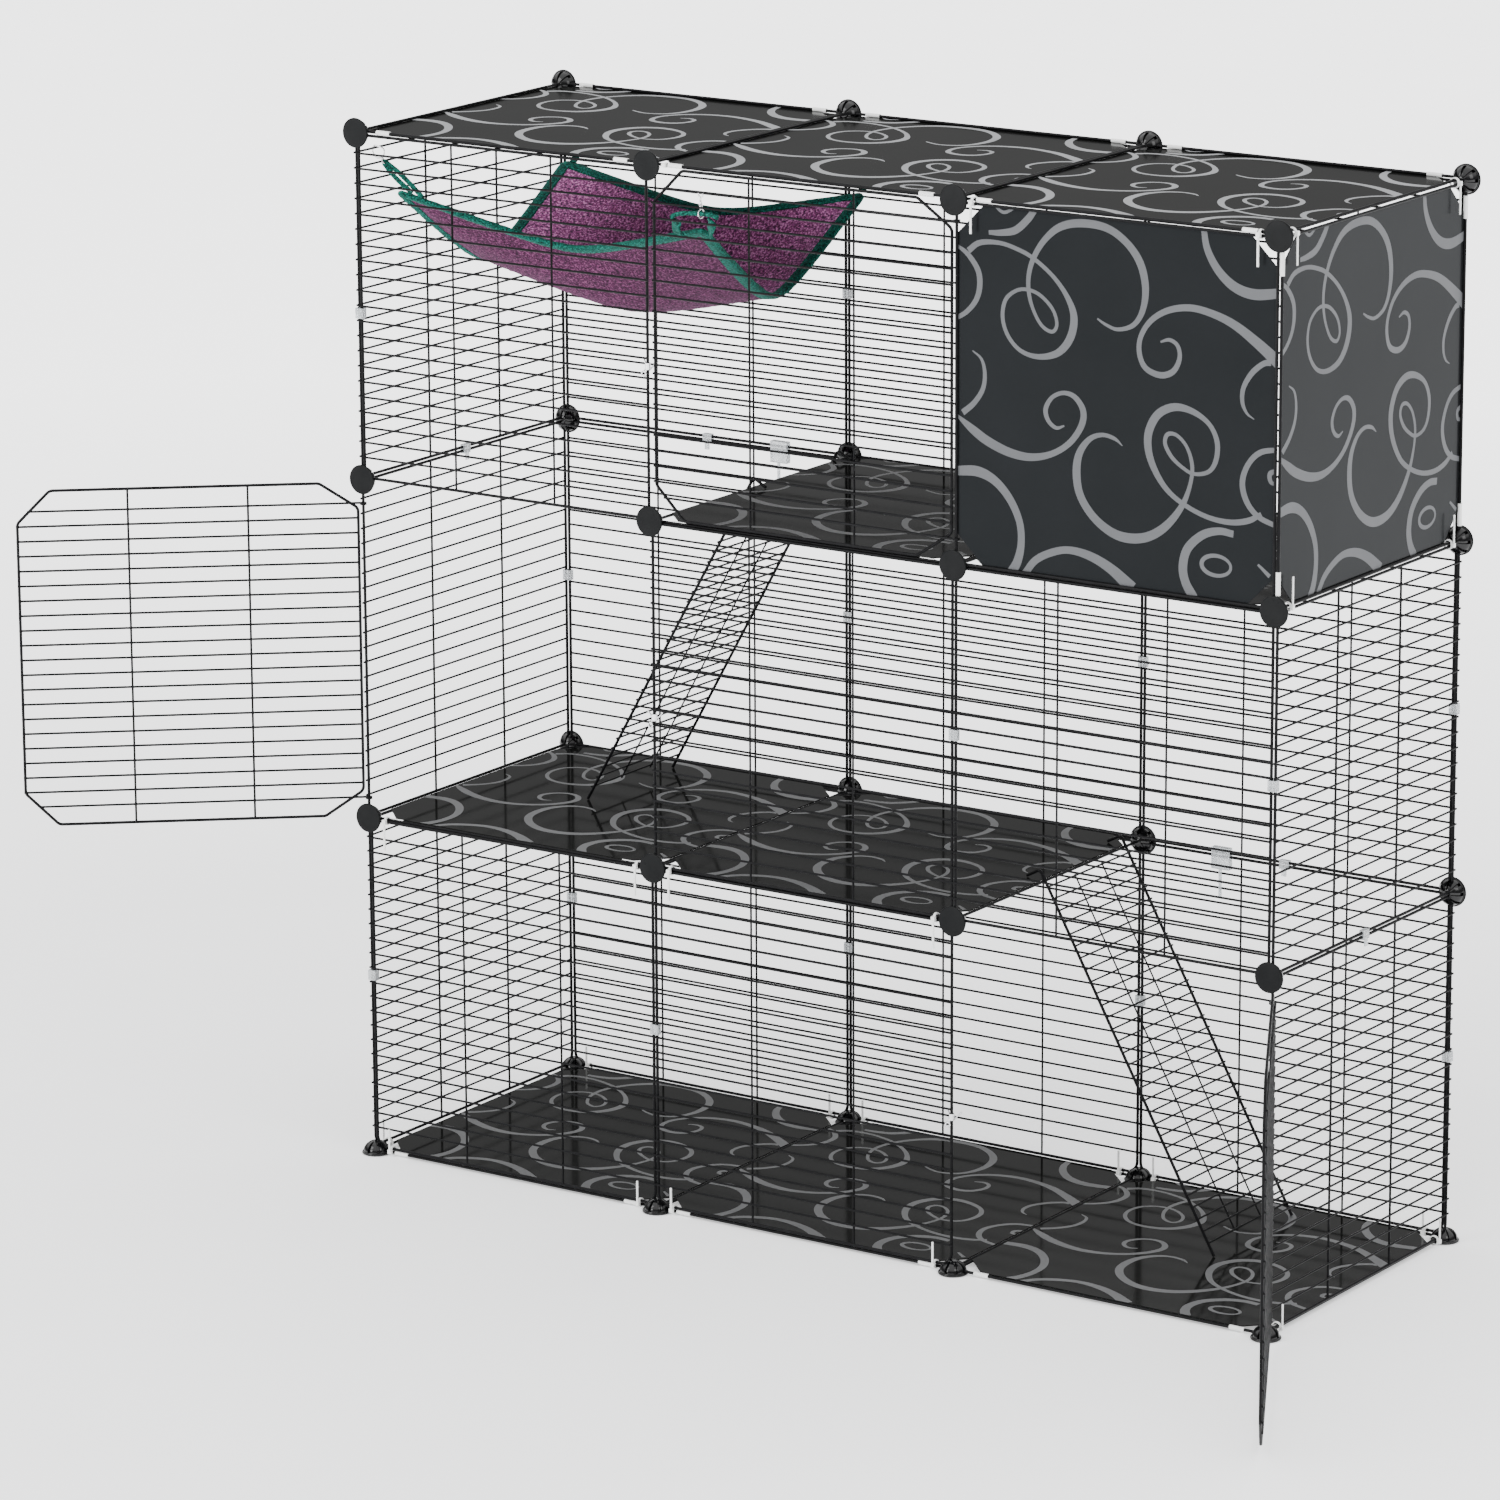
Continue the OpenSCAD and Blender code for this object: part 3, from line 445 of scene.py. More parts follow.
# Scroll ornament of the sheets: centre lines as (across, up, width) from the middle, before scaling
CURLS = [
    [(-165, 131, 6.0), (-152, 140, 5.4), (-130, 142, 4.2), (-110, 138, 4.2), (-92, 131, 4.2),
     (-70, 116, 4.2), (-54, 98, 5.4), (-46, 79, 7.8), (-50, 58, 8.1), (-64, 42, 6.9), (-86, 36, 5.1),
     (-106, 40, 4.2), (-120, 53, 4.2), (-126, 70, 4.2), (-123, 87, 4.2), (-112, 97, 3.6), (-99, 100, 3.6),
     (-84, 96, 3.6), (-70, 84, 3.6), (-65, 70, 3.6), (-70, 62, 3.6), (-81, 66, 3.6), (-90, 78, 3.6),
     (-96, 94, 4.2), (-97, 112, 4.8), (-92, 130, 5.4), (-80, 149, 6.0), (-62, 164, 7.2), (-38, 170, 7.8),
     (-10, 168, 7.5), (12, 156, 7.5), (27, 138, 8.1), (33, 115, 7.5), (30, 93, 6.0), (20, 78, 4.8),
     (3, 72, 3.6), (-10, 75, 3.0), (-20, 80, 1.8)],
    [(-178, 135, 3.0), (-165, 127, 5.1), (-154, 113, 6.0), (-152, 98, 6.0), (-156, 84, 5.4),
     (-166, 72, 4.8), (-178, 64, 4.2)],
    [(-142, 151, 4.2), (-128, 152, 6.0), (-112, 156, 7.2), (-99, 167, 7.2), (-91, 177, 6.6)],
    [(-136, 178, 2.4), (-125, 172, 3.3), (-112, 178, 2.4)],
    [(96, 178, 6.0), (100, 159, 7.2), (112, 140, 8.4), (130, 126, 9.6), (152, 121, 10.2), (180, 125, 9.0)],
    [(50, 65, 1.8), (60, 68, 3.6), (69, 63, 4.2), (71, 51, 4.8), (64, 38, 5.7), (50, 33, 6.0),
     (34, 38, 5.7), (27, 51, 5.4), (28, 67, 5.1), (39, 84, 5.4), (58, 96, 6.0), (82, 101, 6.6),
     (106, 98, 7.2), (130, 90, 8.4), (154, 76, 10.2), (180, 58, 12.6)],
    [(170, 58, 6.0), (162, 56, 5.4), (150, 46, 5.4), (141, 31, 4.8), (140, 17, 4.2), (145, 7, 2.7),
     (153, 2, 0.9)],
    [(-160, 34, 1.2), (-150, 27, 3.0), (-146, 14, 4.2), (-148, -2, 4.8), (-158, -17, 5.4),
     (-171, -28, 6.0)],
    [(-178, -31, 2.4), (-160, -43, 8.4), (-142, -53, 9.3), (-118, -61, 8.7), (-94, -63, 7.5),
     (-70, -57, 6.0), (-50, -44, 6.0), (-37, -26, 6.6), (-35, -11, 6.6), (-44, 1, 5.4), (-57, 4, 4.2),
     (-70, -2, 4.2), (-77, -14, 5.1), (-74, -25, 4.5), (-65, -31, 3.6), (-56, -28, 1.5)],
    [(9, -40, 0.9), (0, -34, 3.6), (-14, -32, 4.2), (-28, -38, 5.4), (-39, -53, 7.5), (-42, -72, 8.7),
     (-38, -93, 8.4), (-24, -112, 8.4), (-4, -125, 9.0), (16, -129, 9.6), (38, -125, 9.0), (58, -112, 8.1),
     (75, -91, 6.0), (84, -69, 4.2), (86, -50, 4.2), (80, -33, 3.6), (69, -23, 3.6), (59, -23, 4.2),
     (56, -32, 4.2), (63, -44, 4.2), (75, -53, 3.6), (88, -58, 3.6), (104, -54, 4.2), (112, -42, 5.1),
     (113, -24, 5.4), (104, -8, 4.8), (86, 2, 6.0), (66, 4, 7.5), (48, -5, 8.1), (38, -23, 8.4),
     (38, -42, 7.8), (46, -61, 6.6), (60, -78, 5.4), (80, -90, 4.8), (104, -98, 4.8), (128, -100, 5.4),
     (148, -96, 5.7), (162, -88, 4.2)],
    [(180, -24, 4.5), (160, -29, 5.4), (147, -42, 5.4), (141, -60, 6.0), (146, -78, 6.0), (159, -91, 5.4),
     (180, -98, 4.8)],
    [(180, -44, 4.2), (171, -48, 4.8), (172, -56, 4.2), (180, -58, 2.4)],
    [(132, -111, 6.6), (116, -110, 7.2), (98, -116, 8.1), (82, -131, 8.7), (77, -149, 9.3), (80, -164, 9.3),
     (89, -178, 10.2)],
    [(-178, -86, 9.0), (-154, -84, 10.2), (-134, -91, 9.0), (-117, -107, 8.4), (-106, -128, 7.8),
     (-104, -149, 7.8), (-108, -167, 9.0), (-115, -179, 9.6)],
    [(-100, -179, 7.2), (-88, -164, 7.2), (-70, -154, 7.2), (-50, -149, 7.2), (-26, -152, 8.7),
     (-2, -162, 10.5), (21, -178, 13.8)],
    [(159, -137, 2.4), (172, -147, 4.2)],
]
# Small oval of the ornament: centre, half sizes and width before scaling
OVAL = (113.5, -143.8, 16.0, 9.6, 3.8)
SCROLL_SCALE = 0.978
LINE_STEPS = 7
OVAL_POINTS = 48


def scroll_strips():
    """Strips of the ornament in the sheet's plane, each as centre line, widths and closed or not."""
    strips = []
    for curl in CURLS:
        line = np.array(smooth_line(curl, LINE_STEPS))
        line[:, :2] *= SCROLL_SCALE
        strips.append((line[:, :2], np.maximum(line[:, 2], 0.3), False))
    cx, cy, rx, ry, w = (SCROLL_SCALE * q for q in OVAL)
    a = np.linspace(0, 2 * np.pi, OVAL_POINTS + 1)[:-1]
    line = np.stack([cx + rx * np.cos(a), cy + ry * np.sin(a)], 1)
    strips.append((line, np.full(OVAL_POINTS, w) - 0.7 * np.cos(a), True))
    return strips


STRIPS = scroll_strips()
CUT = 28.0  # length that a cut corner takes from each edge of a sheet
INSET, TRIM = 0.8, 0.15  # together the print ends this far inside the sheet's edge
HALF = 173.5 - INSET
SHELF_HALF = (BACK - 5.2) / 2 - INSET
LIFT, THICK = 1.3, 1.0  # a sheet's underside over its frame's plane, and its thickness
PRINT_GAP = 0.06  # the lowest strip lies this far off the sheet, and each next one STRIP_STEP further
STRIP_STEP = 0.004


def scroll_mesh(half_u, half_v):
    """The ornament cut to the sheet's outline, in its own plane, a hair above it."""
    bm = bmesh.new()
    for k, (line, width, closed) in enumerate(STRIPS):
        if closed:
            d = np.roll(line, -1, 0) - np.roll(line, 1, 0)
        else:
            d = np.gradient(line, axis=0)
        d /= np.linalg.norm(d, axis=1)[:, None]
        side = np.stack([-d[:, 1], d[:, 0]], 1) * width[:, None] / 2
        n = len(line)
        lift = [PRINT_GAP + STRIP_STEP * k + (0.03 * i / n if not closed else 0.01) for i in range(n)]
        left = [bm.verts.new((*(line[i] + side[i]), lift[i])) for i in range(n)]
        right = [bm.verts.new((*(line[i] - side[i]), lift[i])) for i in range(n)]
        for i in range(n if closed else n - 1):
            j = (i + 1) % n
            bm.faces.new((right[i], right[j], left[j], left[i]))
    corner = (half_u + half_v - CUT) / math.sqrt(2)
    planes = [(1, 0, half_u), (-1, 0, half_u), (0, 1, half_v), (0, -1, half_v)]
    s = math.sqrt(0.5)
    planes += [(a * s, b * s, corner) for a in (-1, 1) for b in (-1, 1)]
    for a, b, d in planes:
        bmesh.ops.bisect_plane(bm, geom=bm.verts[:] + bm.edges[:] + bm.faces[:], dist=1e-5,
                               plane_co=(a * (d - TRIM), b * (d - TRIM), 0), plane_no=(a, b, 0), clear_outer=True)
    bm.verts.ensure_lookup_table()
    bm.verts.index_update()
    verts = [tuple(v.co) for v in bm.verts]
    faces = [tuple(v.index for v in f.verts) for f in bm.faces]
    bm.free()
    return verts, faces


def scroll(name, half_u, half_v, centre, u, v, outer, mat=scroll_mat):
    """Ornament on both faces of a sheet; centre lies in its underside, outer points from there through it."""
    s = Shape()
    verts, faces = scroll_mesh(half_u, half_v)
    u, v, n, c = (np.array(x, float) for x in (u, v, outer, centre))
    top = [c + p[0] * u + p[1] * v + (THICK + p[2]) * n for p in verts]
    low = [c + p[0] * u + p[1] * v - p[2] * n for p in verts]
    right_way = np.cross(u, v) @ n > 0
    flip = [f[::-1] for f in faces]
    s.add(top, faces if right_way else flip)
    s.add(low, flip if right_way else faces)
    s.piece(name, mat)


X, Y, Z = np.eye(3)
# The top sheets carry the copy of the print made lighter as painted light
for i in (1, 2, 3):
    scroll(f"scroll_floor_{i}", HALF, HALF, (xc(i), MID, BASE - SIDE + LIFT), X, Y, Z)
    scroll(f"scroll_top_{i}", HALF, HALF, (xc(i), MID, nz(3) + SIDE - LIFT - THICK), X, Y, Z, top_scroll_painted_light_mat)
for i in (1, 2):
    scroll(f"scroll_mid_{i}", HALF, SHELF_HALF, (xc(i), MID, nz(1) + LIFT), X, Y, Z)
for i in (2, 3):
    scroll(f"scroll_upper_{i}", HALF, SHELF_HALF, (xc(i), MID, nz(2) + LIFT), X, Y, Z)
scroll("scroll_front", HALF, HALF, (xc(3), LIFT, zc(3)), X, Z, Y, wall_scroll_mat)
scroll("scroll_right", HALF, HALF, (WIDE + SIDE - LIFT, MID, zc(3)), Y, Z, (-1, 0, 0), wall_scroll_mat)


# Connectors and feet: a disc with a rounded rim and a dome with eight slots
DOME_R, DOME_HIGH = 13.5, 11.5
SLOT_DEEP, SLOT_HALF = 2.4, 7.6  # millimetres and degrees


def connector(t):
    """Disc of thickness t and the dome on it."""
    disc = lathe([(0, 0), (6, 0), (13.4, 0), (13.9, 0.06), (14.5, 0.16), (14.85, 0.42), (15, 0.8), (15, t - 0.7),
                  (14.85, t - 0.3), (14.5, t - 0.06), (14.0, t), (13.3, t)])
    dome = Shape()
    angles = []
    for k in range(8):
        angles += [k * 45 + d for d in (-12, -7.6, -6.6, -5.6, 0, 5.6, 6.6, 7.6, 12, 17.3, 22.5)]
    angles = np.radians(sorted(set(round(a % 360, 3) for a in angles)))
    rows = []
    for s in np.radians([0, 6, 14, 23, 32, 41, 50, 58, 64, 68, 72, 80]):
        row = []
        for a in angles:
            off = abs((math.degrees(a) + 22.5) % 45 - 22.5)
            depth = SLOT_DEEP * min(1, max(0, (SLOT_HALF - off) / 2.0))
            if s > math.radians(62):
                depth *= max(0, (math.radians(72) - s) / math.radians(10))
            r = DOME_R * math.cos(s) - depth * (0.35 + 0.65 * math.cos(s))
            z = t + DOME_HIGH * math.sin(s) - depth * 0.7 * math.sin(s)
            row.append((max(r, 0.4) * math.cos(a), max(r, 0.4) * math.sin(a), z - (0.5 if s == 0 else 0)))
        rows.append(row)
    n = len(angles)
    verts = [p for r in rows for p in r] + [(0, 0, t + DOME_HIGH)]
    faces = []
    for i in range(len(rows) - 1):
        for j in range(n):
            m = (j + 1) % n
            faces.append((i * n + j, i * n + m, (i + 1) * n + m, (i + 1) * n + j))
    last = (len(rows) - 1) * n
    faces += [(last + j, last + (j + 1) % n, len(verts) - 1) for j in range(n)]
    dome.add(verts, faces)
    # A low collar where the dome meets the disc
    collar = lathe([(14.1, t - 0.3), (14.1, t + 0.55), (13.9, t + 0.8), (13.5, t + 0.9), (13.0, t + 0.7)])
    dome.add(collar.v, collar.f)
    return disc, dome


def connector_set(name, node, spots, turn, t, face_at):
    """All connectors of one CAD node, as one piece of discs and one of domes."""
    disc, dome = connector(t)
    a, b = Shape(), Shape()
    for p in spots:
        a.add(*placed(disc, turn, np.array(p) + np.array(face_at)))
        b.add(*placed(dome, turn, np.array(p) + np.array(face_at)))
    faces = a.piece(name + "_discs", disc_mat, PIECE_ANGLE)
    domes = b.piece(name + "_domes", dome_mat, PIECE_ANGLE)
    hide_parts(node)
    return faces


FRONTWARD = [[1, 0, 0], [0, 0, 1], [0, -1, 0]]
BACKWARD = [[1, 0, 0], [0, 0, -1], [0, 1, 0]]
UPWARD = [[1, 0, 0], [0, 1, 0], [0, 0, 1]]
grid = [(i * PITCH, k) for i in range(4) for k in (1, 2, 3)]
DISC_THICK, FOOT_THICK, DISC_OUT = 2.4, 2.2, 4.1
front_spots = [(x, 0, nz(k)) for x, k in grid]
back_spots = [(x, BACK, nz(k)) for x, k in grid]
feet = [(i * PITCH, y, 0) for i in range(4) for y in (0, BACK)]
connector_set("front_connector", "front_connectors", front_spots, FRONTWARD, DISC_THICK, (0, -DISC_OUT, 0))
connector_set("back_connector", "back_connectors", back_spots, BACKWARD, DISC_THICK, (0, DISC_OUT, 0))
foot_discs = connector_set("foot", "feet", feet, UPWARD, FOOT_THICK, (0, 0, 0))
foot_discs.data.materials[0] = dome_mat


# Hammock: the hung sheet of fleece
def spot(c):
    """Millimetres from cells across, share of the depth and cells up."""
    return np.array([c[0] * PITCH, c[1] * BACK, c[2] * PITCH + BASE])


# Corners from front left to back right, then the middles of the front, back, left and right rims
CORNERS = ([0.0763, 0.065, 2.836], [1.165, 0.035, 2.835], [0.024, 0.97, 2.785], [1.09, 0.97, 2.788])
MIDDLES = ([0.585, 0.205, 2.702], [0.634, 0.865, 2.716], [0.099, 0.455, 2.589], [1.05, 0.575, 2.550])
FL, FRC, BL, BR = (spot(c) for c in CORNERS)
MF, MB, ML, MR = (spot(c) for c in MIDDLES)
HIGH_WIRE = nz(3) - M - 18.4  # highest level wire of a panel
LEVEL = (347 - 21 - 18.4) / 20  # from one level wire to the next
EDGE = 11 / PITCH  # width of the binding as a share of the cloth
ROUND = 0.2  # how round a rim hangs at its middle
SAG = 2.0  # the middle hangs this much lower than the rims alone give


def rim(a, b, c, t):
    """Point t of the rim from a to b that hangs through c."""
    t = np.asarray(t, float)[..., None]
    bow = 1 - (np.hypot(2 * t - 1, ROUND) - ROUND) / (math.hypot(1, ROUND) - ROUND)
    return a * (1 - t) + b * t + bow * (c - (a + b) / 2)


def cloth(u, v):
    """Point of the hung cloth, u to the right and v to the back."""
    u, v = np.asarray(u, float), np.asarray(v, float)
    U, V = u[..., None], v[..., None]
    p = rim(FL, FRC, MF, u) * (1 - V) + rim(BL, BR, MB, u) * V + rim(FL, BL, ML, v) * (1 - U) + rim(FRC, BR, MR, v) * U
    p = p - (FL * (1 - U) * (1 - V) + FRC * U * (1 - V) + BL * (1 - U) * V + BR * U * V)
    p[..., 2] -= SAG * 16 * u * (1 - u) * v * (1 - v)
    return p


# Metres, and frames of the cloth simulation
FLEECE_THICK = 0.0024
NAP = 0.00022
MOST_MOVE = 0.008
FRAMES = 40


def hammock():
    """The cloth, which ends inside the binding."""
    nu, nv = 72, 64
    ends = (0.012, 0.988)
    u, v = np.meshgrid(np.linspace(*ends, nu + 1), np.linspace(*ends, nv + 1))
    p = cloth(u, v).reshape(-1, 3)
    s = Shape()
    w = nu + 1
    corners = [j * w + i for j in range(nv) for i in range(nu)]
    s.add(p, [(k, k + 1, k + w + 1, k + w) for k in corners])
    o = s.piece("hammock_fleece", fleece_mat)
    hang(o, u.ravel(), v.ravel())
    sub = o.modifiers.new("fine", "SUBSURF")
    sub.levels = sub.render_levels = 1
    thick = o.modifiers.new("pile", "SOLIDIFY")
    thick.thickness = FLEECE_THICK
    thick.offset = 0
    bake(o)
    ruffle(o, NAP)
    # Faces turned down take the darker fleece copy, painted shade on the underside
    o.data.materials.append(under_painted_shade_mat)
    for f in o.data.polygons:
        f.material_index = 1 if f.normal.z < 0 else 0
    return o


def hang(o, u, v):
    """Hangs the cloth from its bound rim under its own weight and keeps the settled shape."""
    inside = np.minimum(np.minimum(u, 1 - u), np.minimum(v, 1 - v))
    held = o.vertex_groups.new(name="held")
    for k, d in enumerate(inside):
        weight = float(np.clip((0.05 - d) / 0.015, 0, 1))
        if weight > 0:
            held.add([k], weight, "REPLACE")
    c = o.modifiers.new("cloth", "CLOTH").settings
    c.quality = 8
    c.mass = 0.25
    c.tension_stiffness = c.compression_stiffness = 25
    c.shear_stiffness = 12
    c.bending_stiffness = 1.2
    c.vertex_group_mass = "held"
    c.pin_stiffness = 50
    c.shrink_min = -0.004
    scene = bpy.context.scene
    scene.frame_start, scene.frame_end = 1, FRAMES
    o.modifiers["cloth"].point_cache.frame_start = 1
    o.modifiers["cloth"].point_cache.frame_end = FRAMES
    for f in range(1, FRAMES + 1):
        scene.frame_set(f)
    start = np.array([q.co for q in o.data.vertices])
    e = o.evaluated_get(bpy.context.evaluated_depsgraph_get())
    end = np.array([q.co for q in e.data.vertices])
    move = end - start
    size = np.linalg.norm(move, axis=1)
    move *= (np.minimum(size, MOST_MOVE) / np.maximum(size, 1e-9))[:, None]
    print("cloth settled by", round(float(size.max()) * 1000, 2), "mm at most")
    o.modifiers.remove(o.modifiers["cloth"])
    o.data.vertices.foreach_set("co", (start + move).ravel())
    o.data.update()
    scene.frame_set(1)


def bake(o):
    """Applies the modifiers of a piece to its mesh."""
    e = o.evaluated_get(bpy.context.evaluated_depsgraph_get())
    me = bpy.data.meshes.new_from_object(e)
    o.modifiers.clear()
    old = o.data
    o.data = me
    bpy.data.meshes.remove(old)
    o.data.name = o.name


def ruffle(o, size):
    """Uneven nap: every point moves a little along its normal."""
    n = len(o.data.vertices)
    co = np.zeros(n * 3)
    no = np.zeros(n * 3)
    o.data.vertices.foreach_get("co", co)
    o.data.vertices.foreach_get("normal", no)
    co, no = co.reshape(-1, 3), no.reshape(-1, 3)
    co += no * rng.normal(0, size, n)[:, None]
    o.data.vertices.foreach_set("co", co.ravel())
    o.data.polygons.foreach_set("use_smooth", [True] * len(o.data.polygons))
    o.data.update()


fleece_piece = hammock()
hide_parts("hammock_cloth")


def square_at(s, e):
    """Cloth coordinates at s, from 0 to 4 round the rim, and e in from it."""
    q = int(math.floor(s)) % 4
    f = e + (1 - 2 * e) * (s - math.floor(s))
    return [(f, e), (1 - e, f), (1 - f, 1 - e), (e, 1 - f)][q]


def rim_frame(s):
    """Outer and inner point of the binding at s, its normal and its direction. It is widest on the right rim."""
    corner = 1 - min(1, abs(s - round(s)) / 0.035)
    e0 = 0.010 * corner ** 2
    e1 = EDGE * (1 + 0.4 * math.sin(math.pi * min(max(s - 1, 0), 1)) ** 0.5)
    o = cloth(*square_at(s, e0))
    i = cloth(*square_at(s, e1))
    step = 0.004
    e = (e0 + e1) / 2
    t = cloth(*square_at((s + step) % 4, e)) - cloth(*square_at((s - step) % 4, e))
    n = np.cross(t, i - o)
    n /= np.linalg.norm(n)
    return o, i, n if n[2] > 0 else -n, t / np.linalg.norm(t)


def binding():
    """Folded tape round the rim: puffed faces, a sewn groove and small puckers."""
    count = 400
    seam = 0.80
    across = [0.0, 0.02, 0.08, 0.2, 0.38, 0.58, 0.72, 0.80, 0.88, 0.96, 1.0]
    high = [0.0, 1.3, 2.1, 2.75, 3.0, 2.85, 2.35, 1.95, 2.3, 1.9, 1.2]
    pucker = np.convolve(rng.normal(0, 1, count), np.ones(5) / 5, "same")
    rings = []
    threads = []
    for k in range(count):
        s = 4 * k / count
        o, i, n, t = rim_frame(s)
        d = i - o
        fat = 1 + 0.07 * math.sin(k * 1.9) + 0.10 * pucker[k]
        ring = [o + a * d + n * h * fat for a, h in zip(across, high)]
        ring += [o + a * d - n * h * fat for a, h in list(zip(across, high))[:0:-1]]
        rings.append(ring)
        if k % 2 == 0:
            for z in (1, -1):
                c = o + seam * d + z * n * (1.95 * fat + 0.15)
                threads.append((c, t, n * z))
    s = Shape().add(*skin(rings, True))
    o = s.piece("hammock_tape", teal_mat)
    th = Shape()
    for c, t, n in threads:
        line = [c - 1.5 * t - 0.5 * n, c - 1.1 * t, c, c + 1.1 * t, c + 1.5 * t - 0.5 * n]
        th.add(*tube(line, 0.32, 6))
    return o, th.piece("hammock_stitches", thread_mat)


tape, stitches = binding()
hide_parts("hammock_binding")


# Straps and hooks of the hammock
def band_sweep(points, normals, width, thick, fray=0.0):
    """Flat strap of rounded section along points; normals point out of its face."""
    p, t, _, _ = frames_along(points)
    rings = []
    hw, ht = width / 2, thick / 2
    half = [(1, 0.5), (0.92, 1), (0.4, 1.05), (-0.4, 1.05), (-0.92, 1), (-1, 0.5)]
    section = [(-hw * a, -ht * b) for a, b in half] + [(hw * a, ht * b) for a, b in half]
    for k in range(len(p)):
        n = np.array(normals[k], float)
        n -= t[k] * (n @ t[k])
        n /= np.linalg.norm(n)
        side = np.cross(n, t[k])
        j = 1 + fray * rng.normal()
        rings.append([p[k] + side * a * j + n * b * j for a, b in section])
    return skin(rings)


# The clip hangs on the left wall, the snap hook 7 mm under the top wire of the upper door
fl_ring = np.array([-SIDE - LAY + 4.4, 33, HIGH_WIRE - 4.05])
swivel = np.array([1.174 * PITCH, WR - LAY + 1.3, nz(3) - 27.3])
CAD_CORNER = spot([0.1, 0.065, 2.817])  # the clip points near the cloth's corner of the CAD


def front_left():
    """Wire clip over the level wire, a swivel and the doubled strap to the corner."""
    c = fl_ring
    out = (CAD_CORNER - c - X) * (1, 0, 1)
    out /= np.linalg.norm(out)
    across = np.cross(Y, out)
    apex = c + np.array([-4.2, 0, 5.9])
    loop = [apex + [0.1, 0, 0.6], apex + [2.6, 0, 0.3], c + [6.3, 0, 4.2], c + [7.2, 0, -1.0],
            c + 7.4 * out + 1.1 * across, c + 7.4 * out - 1.1 * across,
            c + [-2.0, 0, -5.6], c + [-6.6, 0, -0.6], c + [-6.6, 0, 3.2]]
    s = Shape().add(*tube(smooth_line(loop, 6, True), 0.75, 10, True))
    eye = c + 9.0 * out
    s.add(*tube([eye + k * out for k in (-2.4, -2.0, -0.2, 0.2)], [0.9, 1.5, 1.5, 0.9]))
    ring = arc(eye + 2.6 * out, out, Y, 2.5, 0, 345, 24)
    s.add(*tube(ring, 0.6, 8, True))
    hook = s.piece("hook_front_left", metal_mat)
    top = eye + 3.6 * out
    strap = Shape()
    bows = ((0, 1.2), (1 / 3, 2.6), (2 / 3, 1.8), (1, 0))
    for side, end in ((-1, (29, 8.5, -6.5)), (1, (19, 5.5, -3.0))):
        end = cloth(0, 0) + np.array(end)
        line = smooth_line([top * (1 - f) + end * f + side * bow * across for f, bow in bows], 6)
        strap.add(*band_sweep(line, [(0.25, -0.95, 0.1)] * len(line), 4.8, 2.0, 0.03))
    turn = arc(top, across, out, 1.9, 170, 370, 12)
    strap.add(*tube(turn, 1.5, 10))
    return hook, strap.piece("strap_front_left", teal_mat)


def front_right():
    """Snap hook on the top wire and the slack strap that bridges the corner of the rim."""
    x, y, z = swivel
    bends = [(-0.2, -1.0), (0, 1.2), (-2.2, 3.0), (-2.7, 4.8), (-1.6, 6.1),
             (0.3, 6.85), (2.0, 5.8), (2.5, 3.8), (2.0, 2.2)]
    s = Shape().add(*tube(smooth_line([(x + a, y, z + b) for a, b in bends], 6), 0.8, 10))
    neck, low = np.array([x - 0.2, y, z - 1.0]), np.array([x - 2.4, 4.6, z - 11.0])
    steps = ((0, 0.8), (0.25, 1.1), (0.4, 1.9), (0.75, 1.9), (0.9, 1.1), (1, 0.8))
    s.add(*tube([neck * (1 - f) + low * f for f, _ in steps], [r for _, r in steps]))
    ring_r = 4.4
    s.add(*tube(arc(low - (0, 0, ring_r), Y, Z, ring_r, 0, 345, 28), 0.75, 8, True))
    snap = s.piece("hook_front_right", metal_mat)
    strap = Shape()
    left = ((-32, 2, -9), (-31, -3, -3), (-28.5, -7.5, 3), (-27.5, -9, 7))
    right = ((4, 2, -4), (8, -2, 0), (12.5, -6.5, 5.5), (14.5, -8.5, 9.5))
    for leg in (left, right):
        leg = smooth_line([FRC + q for q in leg], 4)
        strap.add(*band_sweep(leg, [(0, -1, 0.4)] * len(leg), 13, 2.0, 0.02))
    bar = [(-33.3, -8.8, 8.5), (-29.3, -8.9, 11.2), (-22.8, -9, 13.3), (-13.6, -9, 14.7),
           (-3.2, -9, 15.5), (8.5, -9, 15.8), (16.2, -8.9, 15.2), (21.4, -8.8, 13.2)]
    bar = smooth_line([FRC + q for q in bar], 5)
    strap.add(*band_sweep(bar, [Z] * len(bar), 3.4, 4.0, 0.02))
    return snap, strap.piece("strap_front_right", teal_mat)


hang_left, hang_right = cloth(0.04, 0.985), cloth(0.99, 0.985)
BACK_RING = 6.0
RING_Z = HIGH_WIRE - 2 * LEVEL - (BACK_RING - 1 - WR - 0.06)  # the ring hangs on the third wire down


def back_hang(p, lift, tag):
    """Ring on a level wire of the back wall and the strap from it to the corner."""
    c = np.array([p[0], BACK + LAY, RING_Z])
    s = Shape().add(*tube(arc(c, Y, Z, BACK_RING, 100, 445, 36), 0.95, 10, True))
    ring = s.piece(f"ring_back_{tag}", metal_mat)
    a = p + np.array([0, -1.0, 3.25 + lift])
    b = c - (0, 5.2, 5.8)
    d = (b - a) / np.linalg.norm(b - a)
    up = np.cross(X, d)
    up = up if up[2] > 0 else -up
    path = smooth_line([a, a + (b - a) * 0.35, a + (b - a) * 0.7, b - d * 0.5], 5)
    strap = Shape().add(*band_sweep(path, [up] * len(path), 8.6, 1.9, 0.02))
    return ring, strap.piece(f"strap_back_{tag}", teal_mat)


hooks = [front_left(), front_right(), back_hang(hang_left, 1.6, "left"), back_hang(hang_right, 2.2, "right")]
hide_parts("hammock_clips")
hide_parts("hammock_straps")


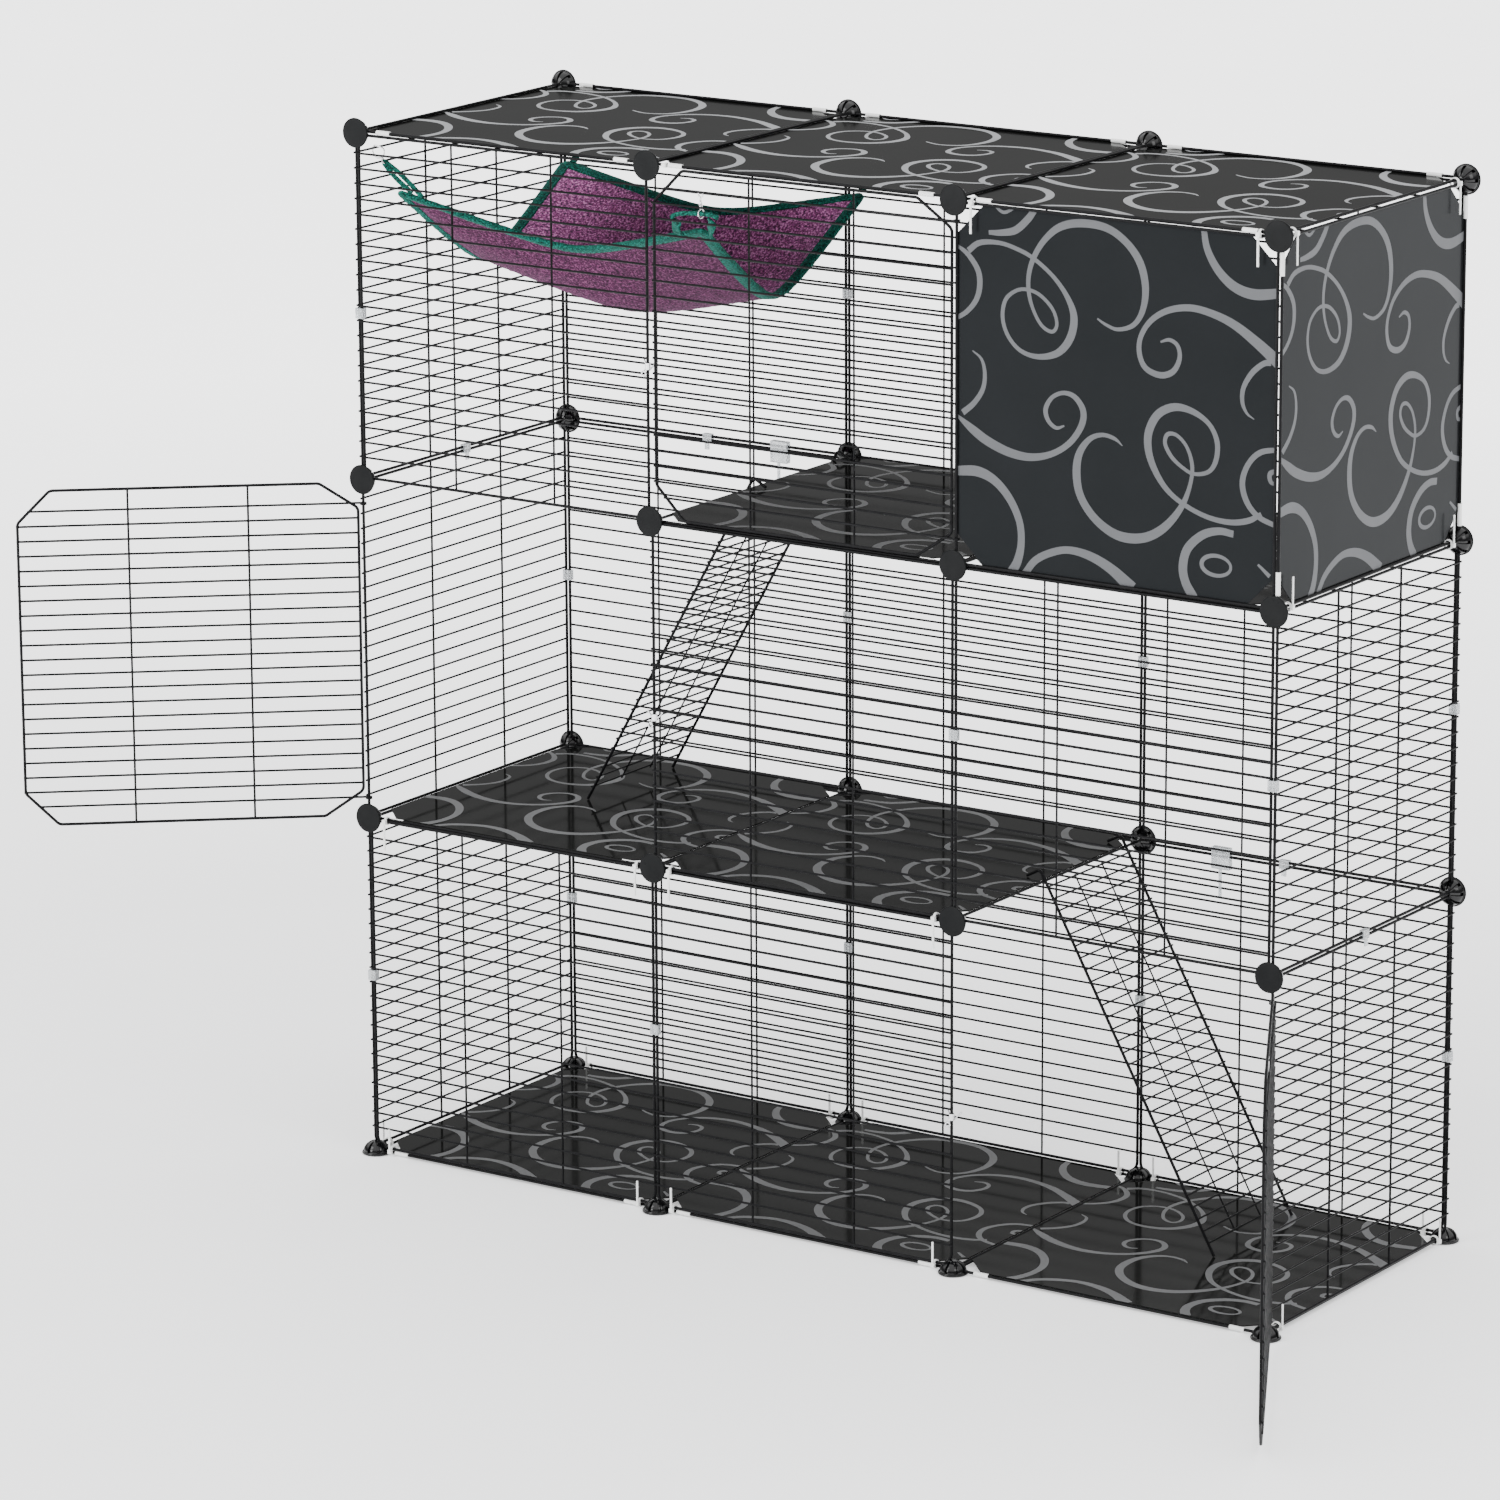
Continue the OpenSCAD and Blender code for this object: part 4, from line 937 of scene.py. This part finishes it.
# Light, floor and background
def world():
    """Room that is bright above and dark near the floor, which the level sheets mirror."""
    w = bpy.data.worlds.new("studio")
    bpy.context.scene.world = w
    w.use_nodes = True
    t = w.node_tree
    bg = t.nodes["Background"]
    c = t.nodes.new("ShaderNodeTexCoord")
    sep = t.nodes.new("ShaderNodeSeparateXYZ")
    t.links.new(c.outputs["Generated"], sep.inputs["Vector"])
    room = [(0.0, grey(0.10)), (0.30, grey(0.13)), (0.52, grey(0.9)), (1.0, grey(1.0))]
    t.links.new(ramp(t, sep.outputs["Z"], room), bg.inputs["Color"])
    bg.inputs["Strength"].default_value = 2.35


def area_light(name, place, target, size, power):
    """Soft light of a size in metres and a power in watts, turned to its target."""
    data = bpy.data.lights.new(name, "AREA")
    data.shape = "RECTANGLE"
    data.size, data.size_y = size
    data.energy = power
    o = bpy.data.objects.new(name, data)
    o.location = place
    o.rotation_mode = "QUATERNION"
    o.rotation_quaternion = (Vector(target) - Vector(place)).to_track_quat("-Z", "Y")
    bpy.context.scene.collection.objects.link(o)


world()
area_light("key", (-1.6, -3.2, 3.6), (0.5, 0.2, 0.5), (2.4, 2.4), 90)
area_light("fill", (3.8, -1.2, 2.6), (0.5, 0.2, 0.5), (1.8, 1.8), 35)
area_light("front", (-1.2, -4.4, 1.5), (0.4, 0.2, 0.8), (2.0, 1.4), 90)


def floor():
    """Pale floor that glows more with distance, so that it meets the room without an edge; the glow is painted light,
    and its weaker glow near the cage is painted shade round it.
    """
    me = bpy.data.meshes.new("floor")
    r = 60.0  # half its width in metres
    me.from_pydata([(-r, -r, 0), (r, -r, 0), (r, r, 0), (-r, r, 0)], [], [(0, 1, 2, 3)])
    o = bpy.data.objects.new("floor", me)
    m, t, b = tree_of("floor_white")
    pale = [(0.3, (0.90, 0.905, 0.915)), (0.7, (0.92, 0.925, 0.935))]
    t.links.new(ramp(t, noise(t, 3, 2.0), pale), b.inputs["Base Color"])
    b.inputs["Roughness"].default_value = 0.85
    away = t.nodes.new("ShaderNodeVectorMath")
    away.operation = "LENGTH"
    t.links.new(t.nodes.new("ShaderNodeNewGeometry").outputs["Position"], away.inputs[0])
    reach = t.nodes.new("ShaderNodeMapRange")
    # The glow, painted light, grows from 0.5 to 1.7 between 1 and 4 metres; the weaker glow near the cage is painted
    # shade
    for name, value in (("From Min", 1.0), ("From Max", 4.0), ("To Min", 0.5), ("To Max", 1.7)):
        reach.inputs[name].default_value = value
    t.links.new(away.outputs["Value"], reach.inputs["Value"])
    b.inputs["Emission Color"].default_value = (1.0, 1.0, 1.0, 1.0)
    t.links.new(reach.outputs["Result"], b.inputs["Emission Strength"])
    b.inputs["Specular IOR Level"].default_value = 0.1
    me.materials.append(m)
    bpy.context.scene.collection.objects.link(o)
    o.location = (0.5, 0.2, -0.0002)


floor()
